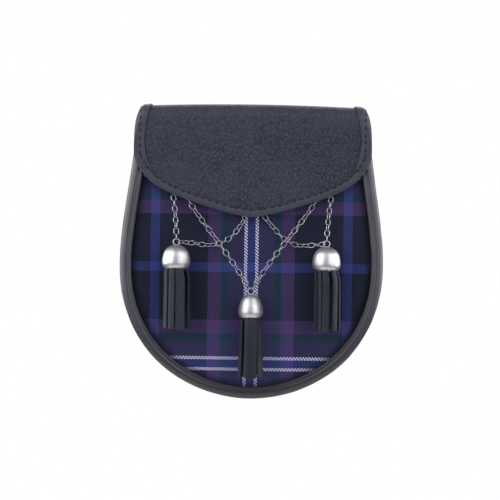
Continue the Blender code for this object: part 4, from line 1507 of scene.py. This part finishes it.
# Routes of the chains, as shares across, down and forward between their two ends
V_ROUTE = (
    (0.00, 0.00, 0.00),
    (0.08, 0.13, 0.00),
    (0.19, 0.27, 0.03),
    (0.37, 0.43, 0.35),
    (0.56, 0.59, 0.64),
    (0.81, 0.81, 0.88),
    (1.00, 1.00, 1.00),
)
DROP_ROUTE = (
    (0.00, 0.00, 0.00),
    (0.04, 0.08, 0.00),
    (0.44, 0.32, 0.01),
    (0.80, 0.64, 0.50),
    (0.99, 0.92, 0.95),
    (1.00, 1.00, 1.00),
)
SWAG_ROUTE_LEFT = (
    (0.00, 0.00, 0.00),
    (0.20, -0.02, 0.50),
    (0.43, -0.07, 0.88),
    (0.63, 0.01, 0.94),
    (0.76, 0.17, 0.96),
    (0.86, 0.39, 0.98),
    (0.94, 0.64, 1.00),
    (0.99, 0.88, 1.00),
    (1.00, 1.00, 1.00),
)
SWAG_ROUTE_RIGHT = (
    (0.00, 0.00, 0.00),
    (0.20, -0.04, 0.50),
    (0.44, -0.04, 0.88),
    (0.63, 0.12, 0.94),
    (0.79, 0.40, 0.97),
    (0.92, 0.65, 1.00),
    (0.99, 0.88, 1.00),
    (1.00, 1.00, 1.00),
)


@dataclass
class ChainMaker:
    """Cable chain of one link size, run along smooth routes."""

    pitch: float = 3.9 * MM
    width: float = 4.0 * MM
    wire: float = 0.64 * MM
    bite: float = 0.05 * MM
    lean: float = 38.0
    sway: float = 30.0
    phase: float = 0.8
    squaring: int = 6
    curve_steps: int = 24

    def route(
        self, start: Vector, end: Vector, rows: Sequence[tuple[float, float, float]]
    ) -> list[Vector]:
        """Return close points on a smooth curve through a route's rows."""
        knots = []
        for across, down, forward in rows:
            knots.append(Vector((
                start.x + (end.x - start.x) * across,
                start.y + (end.y - start.y) * forward,
                start.z + (end.z - start.z) * down,
            )))
        padded = [2 * knots[0] - knots[1]] + knots + [2 * knots[-1] - knots[-2]]
        points = [knots[0]]
        for a, b, c, d in zip(padded, padded[1:], padded[2:], padded[3:]):
            for step in range(1, self.curve_steps + 1):
                t = step / self.curve_steps
                points.append(
                    0.5 * (2 * b + (c - a) * t + (2 * a - 5 * b + 4 * c - d) * t * t
                           + (3 * b - a - 3 * c + d) * t ** 3)
                )
        return points

    def joints(self, points: Sequence[Vector], count: int) -> list[Vector]:
        """Return count + 1 points an equal length apart along a route."""
        lengths = [0.0]
        for first, second in zip(points, points[1:]):
            lengths.append(lengths[-1] + (second - first).length)
        spaced = []
        index = 0
        for step in range(count + 1):
            target = lengths[-1] * step / count
            while index < len(points) - 2 and lengths[index + 1] < target:
                index += 1
            part = (target - lengths[index]) / (lengths[index + 1] - lengths[index])
            spaced.append(points[index].lerp(points[index + 1], part))
        return spaced

    def link(self, pitch: float) -> bpy.types.Object:
        """Return one link along Z: a ring of wire pulled out into two straight sides."""
        start_clean()
        bend = (self.width - self.wire) / 2
        bpy.ops.mesh.primitive_torus_add(
            major_radius=bend, minor_radius=self.wire / 2, major_segments=12, minor_segments=6,
            rotation=(math.pi / 2, 0, 0),
        )
        made = bpy.context.object
        bpy.ops.object.transform_apply(location=True, rotation=True, scale=True)
        stretch = (pitch + self.wire - self.bite) / 2 - bend
        with edit_mode(made):
            bpy.ops.transform.rotate(value=math.radians(15), orient_axis="Y", center_override=(0, 0, 0))
            for side in (1, -1):
                pick(made, lambda co: co.z * side > 0)
                bpy.ops.transform.translate(value=(0, 0, side * stretch))
        return made

    def run(self, name: str, points: Sequence[Vector], node: str, square_end: bool) -> bpy.types.Object:
        """Hang links along a route, each turned a quarter from the last, and join them.

        Args:
            name: Name of the run.
            points: Close points on its route.
            node: The CAD node that it stands for.
            square_end: Whether the last link stands square to the ring that it hooks.

        Returns:
            The joined run.
        """
        length = sum((second - first).length for first, second in zip(points, points[1:]))
        count = round(length / self.pitch)
        joints = self.joints(points, count)
        master = self.link(length / count)
        made = []
        for index in range(count):
            from_end = count - 1 - index
            ease = min(from_end / self.squaring, 1.0) if square_end else 1.0
            sway = self.sway * math.sin(0.55 * from_end + self.phase)
            roll = math.radians(90 * (from_end % 2) + 90 + (self.lean + sway) * ease)
            along = (joints[index] - joints[index + 1]).normalized()
            across = along.cross(Vector((0, 1, 0))).normalized()
            turned = Matrix((across, along.cross(across), along)).transposed().to_4x4()
            turned.translation = (joints[index] + joints[index + 1]) / 2
            copy = stand("link", master.data.copy())
            copy.data.transform(turned @ Matrix.Rotation(roll, 4, "Z"))
            made.append(copy)
        bpy.data.objects.remove(master, do_unlink=True)
        piece = settle(join(made), name, 80)
        dress(piece, STEEL, [node])
        return piece


@dataclass
class ChainSet:
    """The three runs of chain on one side."""

    side: Side
    maker: ChainMaker
    hook_spacing: float = 4.6 * MM
    centre_spacing: float = 7.6 * MM
    ring_radius: float = 2.1 * MM
    ring_wire: float = 0.9 * MM
    v_lean: float = math.radians(55)
    bar_radius: float = 0.5 * MM
    play: float = 0.35 * MM

    def build(self) -> None:
        """Find the staples and rings in the frame and hang the chains between them."""
        reach = self.maker.bite / 2 + self.maker.wire / 2 + self.play
        low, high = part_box("chain_staple_right")
        staple = Vector(((low[0] + high[0]) / 2, low[1] + self.bar_radius, (low[2] + high[2]) / 2))
        low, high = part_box("chain_staple_centre")
        middle_x = self.side.value * (low[0] + high[0]) / 2 + self.centre_spacing / 2
        middle = Vector((middle_x, low[1] + self.bar_radius, (low[2] + high[2]) / 2))
        eyes = {}
        for name in ("right", "centre"):
            low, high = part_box(f"tassel_cap_{name}")
            top = high[2] - self.ring_radius - self.ring_wire / 2
            eyes[name] = Vector(((low[0] + high[0]) / 2, (low[1] + high[1]) / 2, top))
        hook = self.hook_spacing / 2
        inner = self.ring_radius - reach
        up = Vector((0, 0, 1))
        across = Vector((1, 0, 0))
        leaning = Vector((math.cos(self.v_lean), 0.0, math.sin(self.v_lean)))
        hung = staple + reach * up
        swag_route = SWAG_ROUTE_LEFT if self.side is Side.LEFT else SWAG_ROUTE_RIGHT
        runs = (
            ("chain_v", hung - hook * across, eyes["centre"] + inner * leaning, V_ROUTE),
            ("chain_drop", hung + hook * across, eyes["right"] + inner * up, DROP_ROUTE),
            ("chain_swag", eyes["right"] - inner * across, middle + reach * up, swag_route),
        )
        mirror = Matrix.Diagonal((float(self.side.value), 1.0, 1.0))
        for kind, start, end, rows in runs:
            points = [mirror @ point for point in self.maker.route(start, end, rows)]
            node = f"{kind}_{self.side.word}"
            self.maker.run(f"links_{kind[6:]}_{self.side.word}", points, node, kind != "chain_swag")


class Fastenings:
    """The hidden stud and staples, kept as the frame has them, with a finish."""

    NODES = ("press_stud", "chain_staple_left", "chain_staple_right", "chain_staple_centre")

    def build(self) -> None:
        """Give the kept nodes the chain's steel."""
        for name in self.NODES:
            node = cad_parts[name]
            node.data.materials.clear()
            node.data.materials.append(STEEL.material())


@dataclass
class Studio:
    """White surroundings, tall soft boxes, a camera like the photo's and a pale floor."""

    # Name, angle round from the camera in degrees, height in metres, size in metres, power in watts
    BOXES = (
        ("left_box", -52.0, 0.48, (1.5, 1.9), 22.0),
        ("right_box", 43.0, 0.44, (1.3, 1.9), 16.0),
        ("left_strip", -97.0, 0.20, (0.5, 1.2), 15.0),
        ("right_strip", 97.0, 0.20, (0.5, 1.2), 15.0),
        ("top_strip", 180.0, 1.10, (1.4, 0.5), 14.0),
    )

    pixel: float = 0.6826 * MM
    distance: float = 2.2
    tilt: float = math.radians(0.8)
    aim: tuple[float, float] = (-1.0 * MM, -66.7 * MM)
    floor_z: float = -0.42
    floor_radius: float = 0.45
    reach: float = 1.4
    sensor: float = 36.0
    pixels: int = 500
    lit: tuple[float, float, float] = (0.0, 0.0, -0.07)

    def camera(self) -> None:
        """Add the camera, square to the front and turned by the photo's small tilt."""
        lens = bpy.data.cameras.new("camera")
        lens.sensor_width = self.sensor
        lens.lens = self.sensor * self.distance / (self.pixels * self.pixel)
        lens.clip_end = 20.0
        camera = stand("camera", lens)
        camera.location = (self.aim[0], FORM.rim_front - self.distance, self.aim[1])
        turned = Matrix.Rotation(math.pi / 2, 3, "X") @ Matrix.Rotation(self.tilt, 3, "Z")
        camera.rotation_euler = turned.to_euler()
        bpy.context.scene.camera = camera

    def soft_box(self, name: str, place: Sequence[float], size: Point, watts: float) -> None:
        """Add one area light that faces the pouch."""
        data = bpy.data.lights.new(name, "AREA")
        data.shape = "RECTANGLE"
        data.size, data.size_y = size
        data.energy = watts
        light = stand(name, data)
        light.location = place
        aim = Vector(self.lit) - Vector(place)
        light.rotation_euler = aim.to_track_quat("-Z", "Y").to_euler()

    def surroundings(self) -> None:
        """Paint the world white to the eye and a softer grey to the surfaces."""
        world = bpy.data.worlds.new("studio")
        bpy.context.scene.world = world
        world.use_nodes = True
        sheet = NodeSheet(world.node_tree)
        back = world.node_tree.nodes["Background"]
        path = sheet.add("ShaderNodeLightPath")
        split = sheet.add("ShaderNodeSeparateXYZ")
        sheet.feed(split.inputs[0], sheet.add("ShaderNodeTexCoord").outputs["Generated"])
        height = sheet.spread(split.outputs["Z"], -0.5, 0.5, 0.0, 1.0)
        around = sheet.mix(height, (0.05, 0.05, 0.06, 1.0), (0.24, 0.24, 0.26, 1.0))
        tone = sheet.mix(path.outputs["Is Camera Ray"], around, (1.0, 1.0, 1.0, 1.0))
        sheet.feed(back.inputs["Color"], tone)
        back.inputs["Strength"].default_value = 1.0
        bpy.context.scene.view_settings.view_transform = "Standard"

    def floor(self) -> None:
        """Lay a plain pale floor below the camera's view."""
        start_clean()
        bpy.ops.mesh.primitive_circle_add(
            vertices=64, radius=self.floor_radius, fill_type="NGON", location=(0, 0, self.floor_z)
        )
        piece = settle(bpy.context.object, "floor")
        paint = bpy.data.materials.new("pale_floor")
        paint.use_nodes = True
        sheet = NodeSheet(paint.node_tree)
        shader = paint.node_tree.nodes["Principled BSDF"]
        coords = sheet.add("ShaderNodeTexCoord").outputs["Object"]
        cloud = sheet.noise(coords, 14.0, detail=2.0).outputs["Fac"]
        tone = sheet.mix(cloud, (0.80, 0.80, 0.80, 1.0), (0.84, 0.84, 0.83, 1.0))
        sheet.feed(shader.inputs["Base Color"], tone)
        shader.inputs["Roughness"].default_value = 0.8
        piece.data.materials.append(paint)

    def build(self) -> None:
        """Set up the whole studio."""
        self.camera()
        for name, angle, height, size, watts in self.BOXES:
            turned = math.radians(angle)
            place = (self.reach * math.sin(turned), -self.reach * math.cos(turned), height)
            self.soft_box(name, place, size, watts)
        self.surroundings()
        self.floor()


# Turned outlines of the caps: share of the height down, share of the radius
ROUND_CAP = (
    (0.00, 0.24), (0.02, 0.35), (0.05, 0.46), (0.09, 0.58), (0.14, 0.68), (0.20, 0.77),
    (0.27, 0.86), (0.36, 0.92), (0.46, 0.97), (0.58, 0.993), (0.70, 1.00), (0.78, 0.985),
    (0.86, 0.94), (0.92, 0.86), (0.97, 0.77), (1.00, 0.68),
)
CONE_CAP = (
    (0.00, 0.24), (0.02, 0.34), (0.05, 0.45), (0.09, 0.55), (0.14, 0.64), (0.20, 0.72),
    (0.28, 0.80), (0.36, 0.87), (0.45, 0.925), (0.56, 0.97), (0.68, 0.995), (0.78, 0.99),
    (0.86, 0.945), (0.92, 0.86), (0.97, 0.77), (1.00, 0.68),
)

# Strips of each skirt: degrees round from the front, width in mm, share of the length, splay in mm
LEFT_STRIPS = (
    (-64, 5.0, 0.97, 0.2), (-23, 4.6, 0.98, 0.0), (17, 6.4, 1.0, 0.0), (80, 4.5, 0.96, 0.3),
    (125, 5.5, 0.97, 0.0), (168, 5.5, 0.95, 0.0), (-150, 5.5, 0.97, 0.0), (-107, 5.5, 0.98, 0.0),
)
RIGHT_STRIPS = (
    (-72, 4.0, 0.97, 0.2), (-40, 3.4, 0.98, 0.0), (-8, 4.6, 1.0, 0.0), (38, 4.2, 0.97, 0.0),
    (76, 3.8, 1.0, 0.3), (118, 5.5, 0.97, 0.0), (160, 5.5, 0.95, 0.0), (-158, 5.5, 0.97, 0.0),
    (-115, 5.5, 0.98, 0.0),
)
CENTRE_STRIPS = (
    (-70, 4.4, 0.98, 1.0), (-24, 3.4, 0.99, 0.0), (11, 6.2, 1.0, 0.0), (56, 5.6, 0.99, 0.9),
    (103, 5.0, 0.97, 0.6), (148, 5.0, 0.96, 0.0), (-168, 5.0, 0.97, 0.0), (-120, 5.0, 0.98, 0.0),
)


def main() -> None:
    """Build the pouch's pieces in order, then the studio."""
    logging.basicConfig(level=logging.INFO, format="%(name)s: %(message)s")
    Rim().build()
    Gusset().build()
    BackPanel().build()
    ClothFront().build()
    Flap().build()
    stitches = Stitching()
    for side in Side:
        SideBand(side).build()
        BeltLoop(side).build()
    stitches.run("flap_stitches", stitches.flap_line(), "pebbled_leather")
    tassels = (
        Tassel("left", ROUND_CAP, LEFT_STRIPS, 0.8 * MM),
        Tassel("right", ROUND_CAP, RIGHT_STRIPS, 0.9 * MM),
        Tassel("centre", CONE_CAP, CENTRE_STRIPS, 0.5 * MM),
    )
    for tassel in tassels:
        tassel.build_cap()
        tassel.build_skirt()
    maker = ChainMaker()
    for side in Side:
        ChainSet(side, maker).build()
    Fastenings().build()
    Studio().build()


if __name__ == "__main__":
    main()
